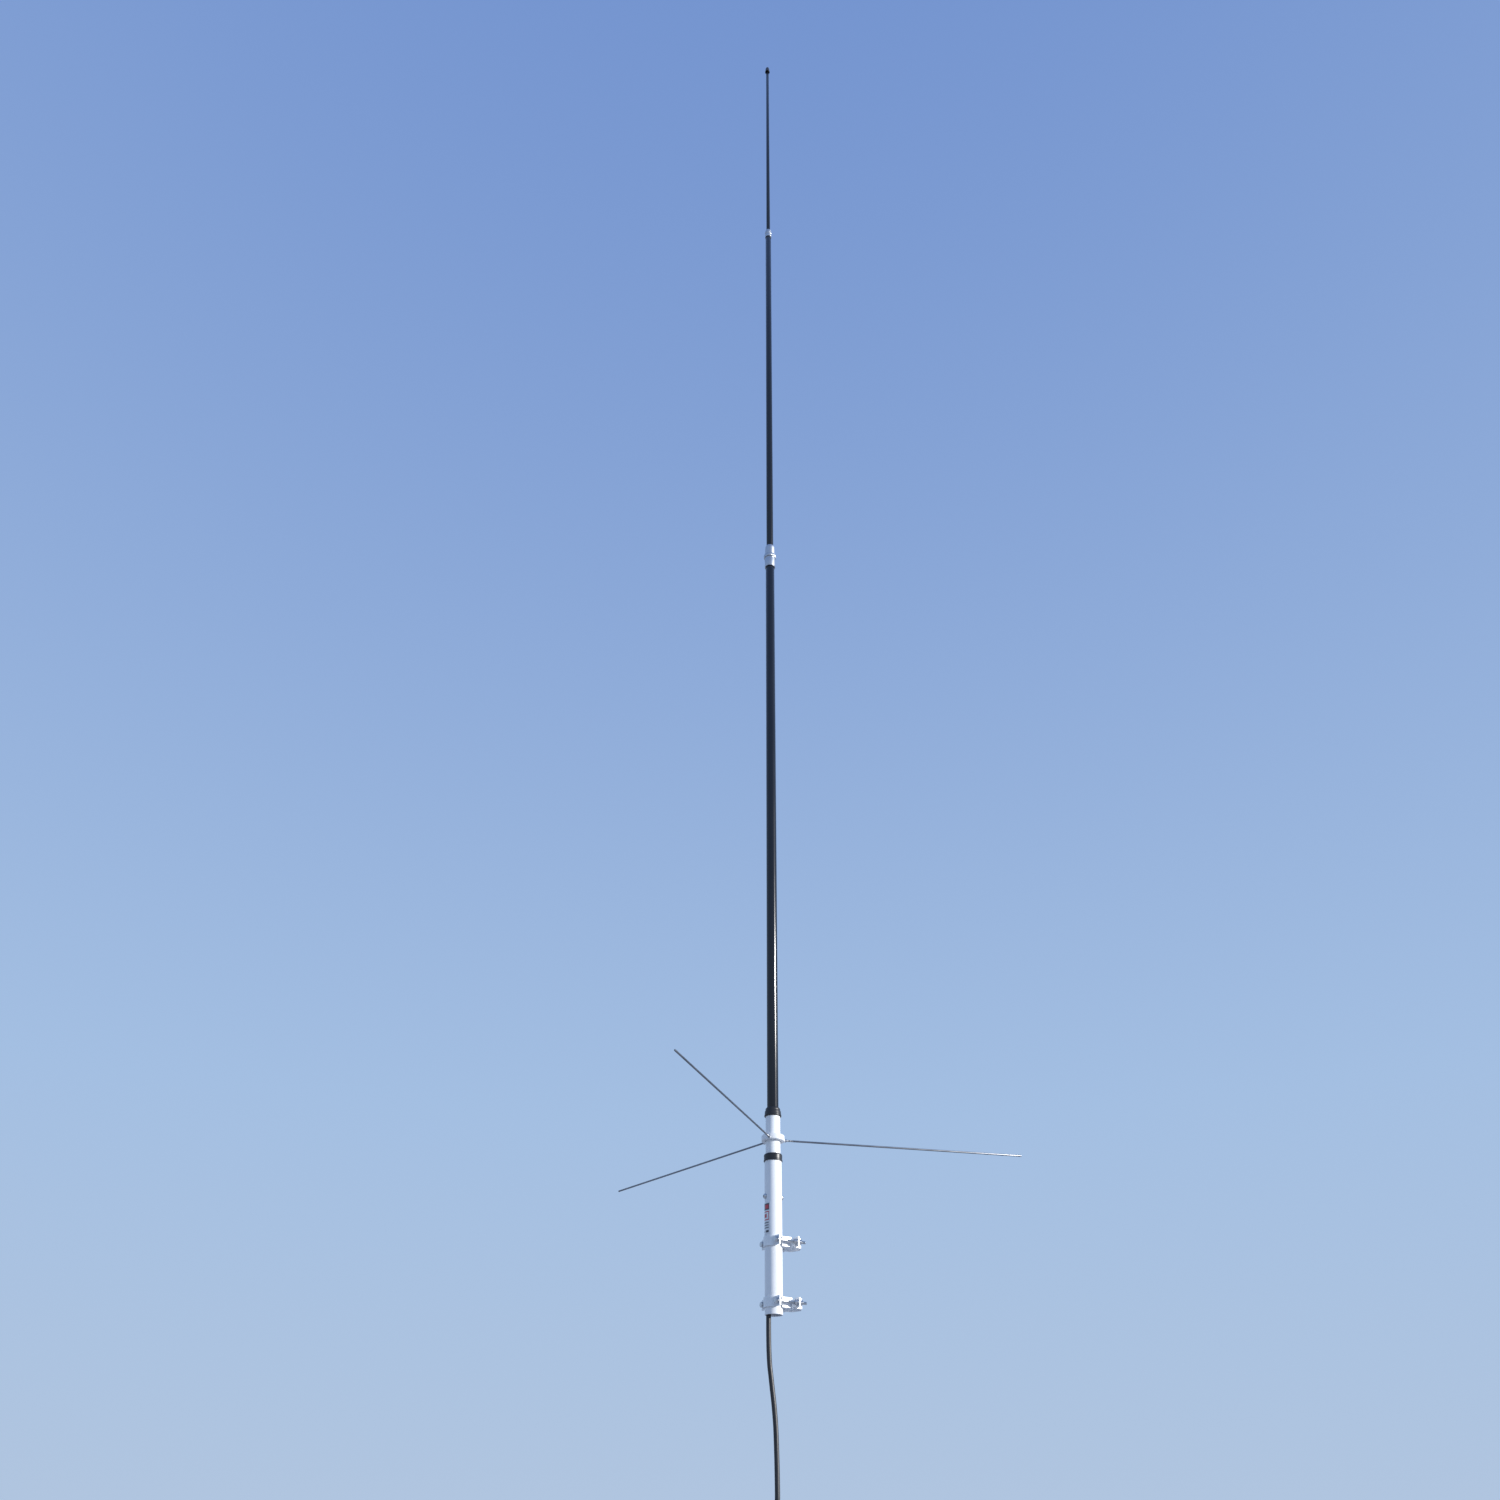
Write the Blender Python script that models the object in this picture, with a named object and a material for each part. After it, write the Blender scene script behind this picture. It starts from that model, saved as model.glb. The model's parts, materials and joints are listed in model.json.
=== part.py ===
"""Three-section omnidirectional base-station antenna on two mast clamps, with its coaxial feeder.

Frame: metres, +Z up along the antenna. The origin is on the axis of the mast that the clamps
grip, midway between the two clamps. +X points from the antenna's axis to the mast's axis.
"""

import math

import bmesh
import bpy
from mathutils import Matrix, Vector

MM = 0.001
GAP = 0.3 * MM  # air left between two pieces that touch

# The antenna's axis and the mast that the clamps are set for.
ANTENNA_X = -43 * MM
MAST_RADIUS = 17.5 * MM

# Base: a white pipe, with a slimmer sleeve standing in its top.
PIPE_RADIUS = 19 * MM
PIPE_WALL = 2.2 * MM
PIPE_BOTTOM = -83.5 * MM
PIPE_TOP = 240.3 * MM
SEAL_BOTTOM = 229.6 * MM
SEAL_TOP = 245.6 * MM
SEAL_RADIUS = 21 * MM
SLEEVE_RADIUS = 16.5 * MM
SLEEVE_WALL = 2 * MM
SLEEVE_BOTTOM = 172 * MM
SLEEVE_TOP = 329.9 * MM
COLLAR_SPIGOT_BOTTOM = 290 * MM
COLLAR_BOTTOM = 330.2 * MM
COLLAR_TOP = 350 * MM
FITTING_BOTTOM = 145 * MM
FITTING_TOP = 190 * MM
PIPE_SCREW_Z = 153.8 * MM
PIPE_SCREW_AZIMUTHS = {"pipe_screw_left": 175, "pipe_screw_right": 355}
LABEL_BOTTOM = 74 * MM
LABEL_TOP = 139.5 * MM
LABEL_FROM, LABEL_TO = 130, 218  # degrees round the pipe

# Ground plane: a hub on the sleeve with three rods.
HUB_BOTTOM = 274.2 * MM
HUB_TOP = 287 * MM
HUB_RADIUS = 26 * MM
ROD_Z = 278 * MM  # the rods' middle lines
BOSS_RADIUS = 3.5 * MM
BOSS_REACH = 27 * MM
RADIAL_RADIUS = 2 * MM
RADIAL_ROOT = 18.5 * MM
RADIAL_REACH = 591 * MM
RADIAL_AZIMUTHS = (-18, 102, 222)
RADIAL_NUT_APOTHEM = 3.5 * MM
RADIAL_NUT_HEIGHT = 3.2 * MM

# The three fibreglass sections, from below.
LOWER_RADOME_RADIUS = 13.1 * MM
MIDDLE_RADOME_RADIUS = 10.4 * MM
UPPER_RADOME_RADIUS = 7.1 * MM
UPPER_RADOME_TIP_RADIUS = 5.95 * MM
LOWER_RADOME_BOTTOM = 262 * MM
TIP_Z = 5123.5 * MM
CAP_HEIGHT = 42 * MM
CAP_RADIUS = 10.4 * MM

# The two metal joints between the sections. Heights run up from the joint's bottom.
JOINTS = {
    "lower": {
        "bottom": 2028 * MM,
        "below": LOWER_RADOME_RADIUS,
        "above": MIDDLE_RADOME_RADIUS,
        "ferrule_radius": 15.9 * MM,
        "ferrule_height": 38 * MM,
        "web": 4.5 * MM,
        "nut_radius": 18.6 * MM,
        "nut_height": 13 * MM,
        "nut_bore": 13.9 * MM,
        "lip": 4.5 * MM,
        "lip_bore": 12.4 * MM,
        "flange": 2.5 * MM,
        "neck": 12 * MM,
        "nose_bore": 9.6 * MM,
        "shoulder_radius": 14.7 * MM,
        "shoulder_height": 30 * MM,
        "cone_height": 39 * MM,
        "cone_top_radius": 11.6 * MM,
        "pin_radius": 3.5 * MM,
    },
    "upper": {
        "bottom": 3784.5 * MM,
        "below": MIDDLE_RADOME_RADIUS,
        "above": UPPER_RADOME_RADIUS,
        "ferrule_radius": 12 * MM,
        "ferrule_height": 21.5 * MM,
        "web": 3.5 * MM,
        "nut_radius": 12.9 * MM,
        "nut_height": 10 * MM,
        "nut_bore": 10.3 * MM,
        "lip": 3.5 * MM,
        "lip_bore": 9.1 * MM,
        "flange": 2 * MM,
        "neck": 8.7 * MM,
        "nose_bore": 7.6 * MM,
        "shoulder_radius": 11.6 * MM,
        "shoulder_height": 10 * MM,
        "cone_height": 16.7 * MM,
        "cone_top_radius": 8.4 * MM,
        "pin_radius": 2.6 * MM,
    },
}

# Mast clamps: a band round the pipe, a saddle between pipe and mast, and a jaw, on two bolts.
CLAMP_HEIGHTS = {"upper": 60 * MM, "lower": -60 * MM}
CLAMP_PLATE_HEIGHT = 20 * MM
PLATE = 3 * MM
BAND_THICKNESS = 2.5 * MM
EAR_Y = 38 * MM
BOLT_Y = 30 * MM
BOLT_RADIUS = 3 * MM
BOLT_TIP_X = 18.5 * MM
BAND_EAR_X = -50.5 * MM  # outer face of the band's ears
JAW_EAR_X = -3.5 * MM  # inner face of the jaw's ears
JAW_WALL_Y = 18.6 * MM  # inner face of the jaw's side walls
SADDLE_Y = 21.5 * MM
SADDLE_SHOULDER_X = -34 * MM
VEE_HALF_ANGLE = math.radians(65)
HEX_APOTHEM = 5 * MM
FLANGE_RADIUS = 6.4 * MM
FLANGE_THICKNESS = 2 * MM
NUT_HEIGHT = 6 * MM

# Feeder: coaxial cable from the socket inside the pipe, down to a tied coil.
COAX_RADIUS = 5.15 * MM
PLUG_TOP_Z = 137.5 * MM
PLUG_LENGTH = 52.5 * MM
TURN_PITCH = 10.4 * MM
TURNS_WIDE = 4
COIL_RADII = (51.4 * MM, 61.8 * MM, 72.2 * MM)  # middle of each layer's turns
COIL_CENTRE = Vector((-54.2 * MM, -2.6 * MM, -515 * MM))
COIL_SKIN = 5.3 * MM  # outside of the coil's solid beyond the middle of its outer turns
ENTRY_BEND = 45 * MM
TAIL_X = -85.8 * MM  # the free end hangs in front of the coil's face
TAIL_FROM = math.radians(38)  # angle on the inner layer where the free end is clear of the coil
TAIL_BOTTOM = -533 * MM
TIE_ANGLE = math.radians(125)
TIE_WIDTH = 5 * MM
TIE_THICKNESS = 1.6 * MM

# The feeder's middle line, from its plug down to where it bends into the coil, from the antenna's axis.
COAX_ROUTE = (
    (0, 0, 84.7 * MM),
    (0, 0, 45 * MM),
    (-3.5 * MM, 2 * MM, -5 * MM),
    (-8.3 * MM, 4.8 * MM, -50 * MM),
    (-9.5 * MM, 5.5 * MM, -85 * MM),
    (-9.3 * MM, 5.4 * MM, -139 * MM),
    (-8 * MM, 4.6 * MM, -174 * MM),
    (-5.8 * MM, 3.4 * MM, -196 * MM),
    (-3.4 * MM, 2 * MM, -220 * MM),
    (-1 * MM, 0.6 * MM, -243 * MM),
    (0.9 * MM, -0.5 * MM, -266 * MM),
    (2.3 * MM, -1.3 * MM, -288 * MM),
    (3.3 * MM, -1.9 * MM, -321 * MM),
    (4 * MM, -2.3 * MM, -353 * MM),
    (4.4 * MM, -2.6 * MM, -390 * MM),
)

ROUND = 24  # sides of the larger turned pieces
SMALL_ROUND = 18  # a multiple of 6, so that a hexagon keeps its corners
COIL_STEPS = 8  # points in a turn of coiled wire
FLAT_SHADE_ANGLE = math.radians(35)


def clear_scene():
    for obj in list(bpy.data.objects):
        bpy.data.objects.remove(obj, do_unlink=True)


def make_material(name, colour, roughness, metallic=0.0):
    material = bpy.data.materials.new(name)
    material.use_nodes = True
    shader = material.node_tree.nodes["Principled BSDF"]
    shader.inputs["Base Color"].default_value = (*colour, 1)
    shader.inputs["Roughness"].default_value = roughness
    shader.inputs["Metallic"].default_value = metallic
    material.diffuse_color = (*colour, 1)
    return material


def add_empty(name, location, rotation=(0, 0, 0)):
    empty = bpy.data.objects.new(name, None)
    empty.location = location
    empty.rotation_euler = rotation
    bpy.context.collection.objects.link(empty)
    return empty


def finish_mesh(name, shape, material, parent, location, rotation):
    """An object from a bmesh, with its faces turned out and its round sides shaded smooth."""
    bmesh.ops.remove_doubles(shape, verts=shape.verts, dist=0.001 * MM)
    bmesh.ops.recalc_face_normals(shape, faces=shape.faces)
    mesh = bpy.data.meshes.new(name)
    shape.to_mesh(mesh)
    shape.free()
    mesh.shade_smooth()
    mesh.set_sharp_from_angle(angle=FLAT_SHADE_ANGLE)
    if material:
        mesh.materials.append(material)
    obj = bpy.data.objects.new(name, mesh)
    obj.parent = parent
    obj.location = location
    obj.rotation_euler = rotation
    bpy.context.collection.objects.link(obj)
    return obj


def hex_factor(angle):
    """How much further out a hexagon's side is at this angle than at the middle of a flat."""
    sixth = math.radians(60)
    return 1 / math.cos((angle + sixth / 2) % sixth - sixth / 2)


def turned(name, profile, material, parent, location=(0, 0, 0), rotation=(0, 0, 0), sides=ROUND, ring=False):
    """A turned solid about local Z.

    The profile's points are (radius, height), or (apothem, height, "hex") for a hexagonal edge.
    It starts and ends on the axis, or it is a closed loop where ring is set.
    """
    shape = bmesh.new()
    rows = []
    for index in range(sides):
        angle = math.tau * index / sides
        row = []
        for radius, height, *form in profile:
            reach = radius * hex_factor(angle) if form else radius
            row.append(shape.verts.new((reach * math.cos(angle), reach * math.sin(angle), height)))
        rows.append(row)
    spans = len(profile) if ring else len(profile) - 1
    for index in range(sides):
        this, following = rows[index], rows[(index + 1) % sides]
        for point in range(spans):
            after = (point + 1) % len(profile)
            shape.faces.new((this[point], following[point], following[after], this[after]))
    return finish_mesh(name, shape, material, parent, location, rotation)


def extruded(name, outline, low, high, material, parent, location=(0, 0, 0), rotation=(0, 0, 0)):
    """A plate with this outline in local XY, from low to high along local Z."""
    shape = bmesh.new()
    face = shape.faces.new([shape.verts.new((x, y, low)) for x, y in outline])
    raised = bmesh.ops.extrude_face_region(shape, geom=[face])
    moved = [item for item in raised["geom"] if isinstance(item, bmesh.types.BMVert)]
    bmesh.ops.translate(shape, verts=moved, vec=(0, 0, high - low))
    return finish_mesh(name, shape, material, parent, location, rotation)


def wire(name, points, radius, material, parent, resolution):
    """A round tube along these points, closed at both ends."""
    curve = bpy.data.curves.new(name, "CURVE")
    curve.dimensions = "3D"
    curve.bevel_depth = radius
    curve.bevel_resolution = resolution
    curve.use_fill_caps = True
    spline = curve.splines.new("POLY")
    spline.points.add(len(points) - 1)
    for slot, point in zip(spline.points, points):
        slot.co = (*point, 1)
    spline.use_smooth = True
    curve.materials.append(material)
    obj = bpy.data.objects.new(name, curve)
    obj.parent = parent
    bpy.context.collection.objects.link(obj)
    return obj


def cylinder_cutter(name, radius, start, end, parent, location=(0, 0, 0), rotation=(0, 0, 0)):
    """A hidden cylinder along local Z, used by Booleans."""
    profile = ((0, start), (radius, start), (radius, end), (0, end))
    cutter = turned(name, profile, None, parent, location, rotation, SMALL_ROUND)
    cutter.hide_render = True
    cutter.display_type = "WIRE"
    return cutter


def boolean(obj, other, operation):
    modifier = obj.modifiers.new(other.name, "BOOLEAN")
    modifier.operation = operation
    modifier.solver = "EXACT"
    modifier.object = other


def tube_profile(inner, outer, bottom, top):
    return ((inner, bottom), (outer, bottom), (outer, top), (inner, top))


def arc(radius, start, end, steps):
    """Points on a circle about the origin, from start to end in degrees."""
    angles = [math.radians(start + (end - start) * step / steps) for step in range(steps + 1)]
    return [(radius * math.cos(angle), radius * math.sin(angle)) for angle in angles]


def smooth_path(points, spacing):
    """Points at about this spacing on a Catmull-Rom curve through the given points."""
    knots = [Vector(point) for point in points]
    knots = [2 * knots[0] - knots[1], *knots, 2 * knots[-1] - knots[-2]]
    path = []
    for before, start, end, after in zip(knots, knots[1:], knots[2:], knots[3:]):
        steps = max(1, round((end - start).length / spacing))
        for step in range(steps):
            t = step / steps
            path.append(
                0.5
                * (
                    2 * start
                    + (end - before) * t
                    + (2 * before - 5 * start + 4 * end - after) * t**2
                    + (3 * start - before - 3 * end + after) * t**3
                )
            )
    path.append(knots[-2])
    return path


def make_materials():
    return {
        "white": make_material("white_paint", (0.82, 0.84, 0.86), 0.35),
        "black_plastic": make_material("black_plastic", (0.02, 0.02, 0.022), 0.45),
        "radome": make_material("black_radome", (0.012, 0.012, 0.014), 0.2),
        "chrome": make_material("plated_brass", (0.72, 0.73, 0.74), 0.2, 1),
        "steel": make_material("stainless_steel", (0.62, 0.63, 0.64), 0.3, 1),
        "cast": make_material("zinc_plated_steel", (0.76, 0.77, 0.78), 0.35, 1),
        "copper": make_material("copper_wire", (0.72, 0.35, 0.2), 0.3, 1),
        "insulator": make_material("insulator", (0.85, 0.83, 0.76), 0.5),
        "cable": make_material("cable_jacket", (0.015, 0.015, 0.016), 0.5),
        "label": make_material("printed_foil", (0.5, 0.5, 0.52), 0.4),
    }


def make_base(materials, axis):
    """The pipe, the seal ring on its end, the sleeve with its collar, and what holds the socket."""
    pipe_bore = PIPE_RADIUS - PIPE_WALL
    sleeve_bore = SLEEVE_RADIUS - SLEEVE_WALL
    pipe = turned(
        "base_pipe",
        tube_profile(pipe_bore, PIPE_RADIUS, PIPE_BOTTOM, PIPE_TOP),
        materials["white"],
        axis,
        sides=32,
        ring=True,
    )
    seal_step = PIPE_TOP + GAP
    seal = (
        (PIPE_RADIUS + GAP, SEAL_BOTTOM),
        (SEAL_RADIUS - 0.6 * MM, SEAL_BOTTOM),
        (SEAL_RADIUS, SEAL_BOTTOM + 0.8 * MM),
        (SEAL_RADIUS, SEAL_TOP - 2 * MM),
        (SEAL_RADIUS - 1.2 * MM, SEAL_TOP),
        (SLEEVE_RADIUS + GAP, SEAL_TOP),
        (SLEEVE_RADIUS + GAP, seal_step),
        (PIPE_RADIUS + GAP, seal_step),
    )
    turned("pipe_seal_ring", seal, materials["black_plastic"], axis, ring=True)
    turned(
        "upper_sleeve",
        tube_profile(sleeve_bore, SLEEVE_RADIUS, SLEEVE_BOTTOM, SLEEVE_TOP),
        materials["white"],
        axis,
        ring=True,
    )
    collar = (
        (LOWER_RADOME_RADIUS + GAP, COLLAR_SPIGOT_BOTTOM),
        (sleeve_bore - GAP, COLLAR_SPIGOT_BOTTOM),
        (sleeve_bore - GAP, COLLAR_BOTTOM),
        (19.4 * MM, COLLAR_BOTTOM),
        (19.6 * MM, COLLAR_BOTTOM + 2 * MM),
        (18.8 * MM, COLLAR_BOTTOM + 11.5 * MM),
        (17 * MM, COLLAR_BOTTOM + 12.3 * MM),
        (17 * MM, COLLAR_TOP - 1 * MM),
        (16.2 * MM, COLLAR_TOP),
        (LOWER_RADOME_RADIUS + GAP, COLLAR_TOP),
    )
    turned("fibre_collar", collar, materials["black_plastic"], axis, ring=True)

    fitting_bore = 4 * MM
    fitting = (
        (fitting_bore, FITTING_BOTTOM),
        (pipe_bore - GAP, FITTING_BOTTOM),
        (pipe_bore - GAP, SLEEVE_BOTTOM - GAP),
        (sleeve_bore - GAP, SLEEVE_BOTTOM - GAP),
        (sleeve_bore - GAP, FITTING_TOP),
        (fitting_bore, FITTING_TOP),
    )
    base_fitting = turned("base_fitting", fitting, materials["cast"], axis, ring=True)
    socket = (
        (0, 138.5 * MM),
        (5.6 * MM, 138.5 * MM),
        (5.6 * MM, 122 * MM),
        (7.9 * MM, 122 * MM),
        (7.9 * MM, 141.5 * MM),
        (12.5 * MM, 141.5 * MM),
        (12.5 * MM, FITTING_BOTTOM - GAP),
        (3.6 * MM, FITTING_BOTTOM - GAP),
        (3.6 * MM, 196 * MM),
        (0, 196 * MM),
    )
    turned("connector_socket", socket, materials["chrome"], axis, sides=SMALL_ROUND)
    make_pipe_screws(materials, axis, (pipe, base_fitting))

    inner, outer = PIPE_RADIUS + 0.2 * MM, PIPE_RADIUS + 0.45 * MM
    label = arc(inner, LABEL_FROM, LABEL_TO, 12) + arc(outer, LABEL_TO, LABEL_FROM, 12)
    extruded("base_label", label, LABEL_BOTTOM, LABEL_TOP, materials["label"], axis)


def make_pipe_screws(materials, axis, held):
    """Dome-head screws through the pipe's wall into the fitting inside it."""
    head_radius, head_height, shank, depth = 5.6 * MM, 4.8 * MM, 2.5 * MM, 9 * MM
    seat = PIPE_RADIUS + GAP
    steps = 5
    dome = [
        (head_radius * math.cos(turn), seat + head_height * math.sin(turn))
        for turn in (math.radians(90) * step / steps for step in range(steps))
    ]
    profile = [(0, depth), (shank, depth), (shank, seat), *dome, (0, seat + head_height)]
    for name, azimuth in PIPE_SCREW_AZIMUTHS.items():
        turn = (0, math.radians(90), math.radians(azimuth))
        place = (0, 0, PIPE_SCREW_Z)
        turned(name, profile, materials["steel"], axis, place, turn, sides=16)
        hole_start, hole_end = depth - 1 * MM, PIPE_RADIUS + 2 * MM
        hole = cylinder_cutter(f"{name}_hole", shank + GAP, hole_start, hole_end, axis, place, turn)
        for obj in held:
            boolean(obj, hole, "DIFFERENCE")


def make_ground_plane(materials, axis):
    """The hub, and the three rods that screw into its bosses, each with its lock nut."""
    edge = 1 * MM
    ring = (
        (SLEEVE_RADIUS + GAP, HUB_BOTTOM),
        (HUB_RADIUS - edge, HUB_BOTTOM),
        (HUB_RADIUS, HUB_BOTTOM + edge),
        (HUB_RADIUS, HUB_TOP - edge),
        (HUB_RADIUS - edge, HUB_TOP),
        (SLEEVE_RADIUS + GAP, HUB_TOP),
    )
    hub = turned("radial_hub", ring, materials["white"], axis, ring=True)
    corner = 0.4 * MM
    nut = (
        (RADIAL_RADIUS + GAP, 0),
        (RADIAL_NUT_APOTHEM - corner, 0, "hex"),
        (RADIAL_NUT_APOTHEM, corner, "hex"),
        (RADIAL_NUT_APOTHEM, RADIAL_NUT_HEIGHT - corner, "hex"),
        (RADIAL_NUT_APOTHEM - corner, RADIAL_NUT_HEIGHT, "hex"),
        (RADIAL_RADIUS + GAP, RADIAL_NUT_HEIGHT),
    )
    rod = (
        (0, RADIAL_ROOT),
        (RADIAL_RADIUS, RADIAL_ROOT),
        (RADIAL_RADIUS, RADIAL_REACH - 0.7 * MM),
        (RADIAL_RADIUS - 0.7 * MM, RADIAL_REACH),
        (0, RADIAL_REACH),
    )
    for number, azimuth in enumerate(RADIAL_AZIMUTHS, start=1):
        turn = (0, math.radians(90), math.radians(azimuth))
        place = (0, 0, ROD_Z)
        boss_root = HUB_RADIUS - 4 * MM
        boss = cylinder_cutter(f"boss_{number}", BOSS_RADIUS, boss_root, BOSS_REACH, axis, place, turn)
        boolean(hub, boss, "UNION")
        hole_radius, hole_end = RADIAL_RADIUS + 0.35 * MM, BOSS_REACH + 3 * MM
        hole = cylinder_cutter(f"radial_hole_{number}", hole_radius, 10 * MM, hole_end, axis, place, turn)
        boolean(hub, hole, "DIFFERENCE")
        holder = add_empty(f"radial_axis_{number}", place, turn)
        holder.parent = axis
        turned(f"radial_{number}", rod, materials["steel"], holder, sides=12)
        turned(
            f"radial_nut_{number}",
            nut,
            materials["steel"],
            holder,
            location=(0, 0, BOSS_REACH + GAP),
            sides=SMALL_ROUND,
            ring=True,
        )


def joint_levels(joint):
    """Heights that the joint's pieces and the tubes in it share."""
    ferrule_top = joint["bottom"] + joint["ferrule_height"]
    nut_top = ferrule_top + GAP + joint["nut_height"]
    lip_bottom = nut_top - joint["lip"]
    return {
        "web_bottom": ferrule_top - joint["web"],
        "ferrule_top": ferrule_top,
        "nose_top": lip_bottom - joint["flange"] - 2 * GAP,
        "lip_bottom": lip_bottom,
        "nut_top": nut_top,
        "cone_top": nut_top + GAP + joint["cone_height"],
        "pin_bottom": ferrule_top - 3 * MM,
        "pin_top": lip_bottom - joint["flange"],
    }


def make_section_joint(side, joint, materials, axis):
    """A ferrule on the tube below, one on the tube above, and the union nut that pulls them together."""
    level = joint_levels(joint)
    below_bore, above_bore = joint["below"] + GAP, joint["above"] + GAP
    nose = joint["nut_bore"] - GAP
    rim = 0.8 * MM
    lower_ferrule = (
        (below_bore, joint["bottom"]),
        (joint["ferrule_radius"] - rim, joint["bottom"]),
        (joint["ferrule_radius"], joint["bottom"] + rim),
        (joint["ferrule_radius"], level["ferrule_top"] - rim),
        (joint["ferrule_radius"] - rim, level["ferrule_top"]),
        (nose, level["ferrule_top"]),
        (nose, level["nose_top"]),
        (joint["nose_bore"], level["nose_top"]),
        (joint["nose_bore"], level["web_bottom"]),
        (below_bore, level["web_bottom"]),
    )
    turned(f"{side}_joint_ferrule", lower_ferrule, materials["chrome"], axis, ring=True)
    union_nut = (
        (joint["nut_bore"], level["ferrule_top"] + GAP),
        (joint["nut_radius"] - rim, level["ferrule_top"] + GAP),
        (joint["nut_radius"], level["ferrule_top"] + GAP + rim),
        (joint["nut_radius"], level["nut_top"] - rim),
        (joint["nut_radius"] - rim, level["nut_top"]),
        (joint["lip_bore"], level["nut_top"]),
        (joint["lip_bore"], level["lip_bottom"]),
        (joint["nut_bore"], level["lip_bottom"]),
    )
    turned(f"{side}_union_nut", union_nut, materials["chrome"], axis, ring=True)
    shoulder_bottom = level["nut_top"] + GAP
    upper_ferrule = (
        (above_bore, level["nose_top"] + GAP),
        (nose - 0.1 * MM, level["nose_top"] + GAP),
        (nose - 0.1 * MM, level["lip_bottom"] - GAP),
        (joint["neck"], level["lip_bottom"] - GAP),
        (joint["neck"], shoulder_bottom),
        (joint["shoulder_radius"], shoulder_bottom),
        (joint["shoulder_radius"], shoulder_bottom + joint["shoulder_height"]),
        (joint["cone_top_radius"], level["cone_top"]),
        (above_bore, level["cone_top"]),
    )
    turned(f"{side}_joint_cone", upper_ferrule, materials["chrome"], axis, ring=True)
    contact = (
        (0, level["pin_bottom"]),
        (joint["pin_radius"], level["pin_bottom"]),
        (joint["pin_radius"], level["ferrule_top"] + 1 * MM),
        (joint["nose_bore"] - GAP, level["ferrule_top"] + 1 * MM),
        (joint["nose_bore"] - GAP, level["ferrule_top"] + 3.5 * MM),
        (joint["pin_radius"], level["ferrule_top"] + 3.5 * MM),
        (joint["pin_radius"], level["pin_top"]),
        (0, level["pin_top"]),
    )
    turned(f"{side}_contact_pin", contact, materials["insulator"], axis, sides=SMALL_ROUND)


def make_radomes(materials, axis):
    """The three fibreglass tubes and the cap on the tip."""
    lower, upper = joint_levels(JOINTS["lower"]), joint_levels(JOINTS["upper"])
    cap_bottom = TIP_Z - CAP_HEIGHT
    tubes = {
        "lower_radome": (
            LOWER_RADOME_RADIUS,
            LOWER_RADOME_RADIUS,
            2 * MM,
            LOWER_RADOME_BOTTOM,
            lower["web_bottom"] - GAP,
        ),
        "middle_radome": (
            MIDDLE_RADOME_RADIUS,
            MIDDLE_RADOME_RADIUS,
            1.8 * MM,
            lower["nose_top"] + GAP,
            upper["web_bottom"] - GAP,
        ),
        "upper_radome": (
            UPPER_RADOME_RADIUS,
            UPPER_RADOME_TIP_RADIUS,
            1.5 * MM,
            upper["nose_top"] + GAP,
            cap_bottom + 23 * MM,
        ),
    }
    for name, (bottom_radius, top_radius, wall, bottom, top) in tubes.items():
        profile = (
            (bottom_radius - wall, bottom),
            (bottom_radius, bottom),
            (top_radius, top),
            (top_radius - wall, top),
        )
        turned(name, profile, materials["radome"], axis, ring=True)
    bore = UPPER_RADOME_TIP_RADIUS + 0.35 * MM
    cap = (
        (0, cap_bottom + 24 * MM),
        (bore, cap_bottom + 24 * MM),
        (bore, cap_bottom),
        (CAP_RADIUS, cap_bottom),
        (CAP_RADIUS, cap_bottom + 4 * MM),
        (CAP_RADIUS - 1.2 * MM, cap_bottom + 8 * MM),
        (CAP_RADIUS - 2 * MM, cap_bottom + 26 * MM),
        (CAP_RADIUS - 4.4 * MM, cap_bottom + 36 * MM),
        (CAP_RADIUS - 7.4 * MM, cap_bottom + 41 * MM),
        (0, TIP_Z),
    )
    turned("tip_cap", cap, materials["black_plastic"], axis)


def coiled_wire(start, end, coil_start, coil_end, turns, radius):
    """A straight wire on the axis that opens into a coil and closes back onto the axis."""
    points = [(0, 0, start)]
    steps = turns * COIL_STEPS
    for step in range(steps + 1):
        turn = step / COIL_STEPS
        open_to = min(1, turn, turns - turn)
        reach = radius * open_to**2 * (3 - 2 * open_to)
        angle = math.tau * turn
        height = coil_start + (coil_end - coil_start) * step / steps
        points.append((reach * math.cos(angle), reach * math.sin(angle), height))
    points.append((0, 0, end))
    return points


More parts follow.
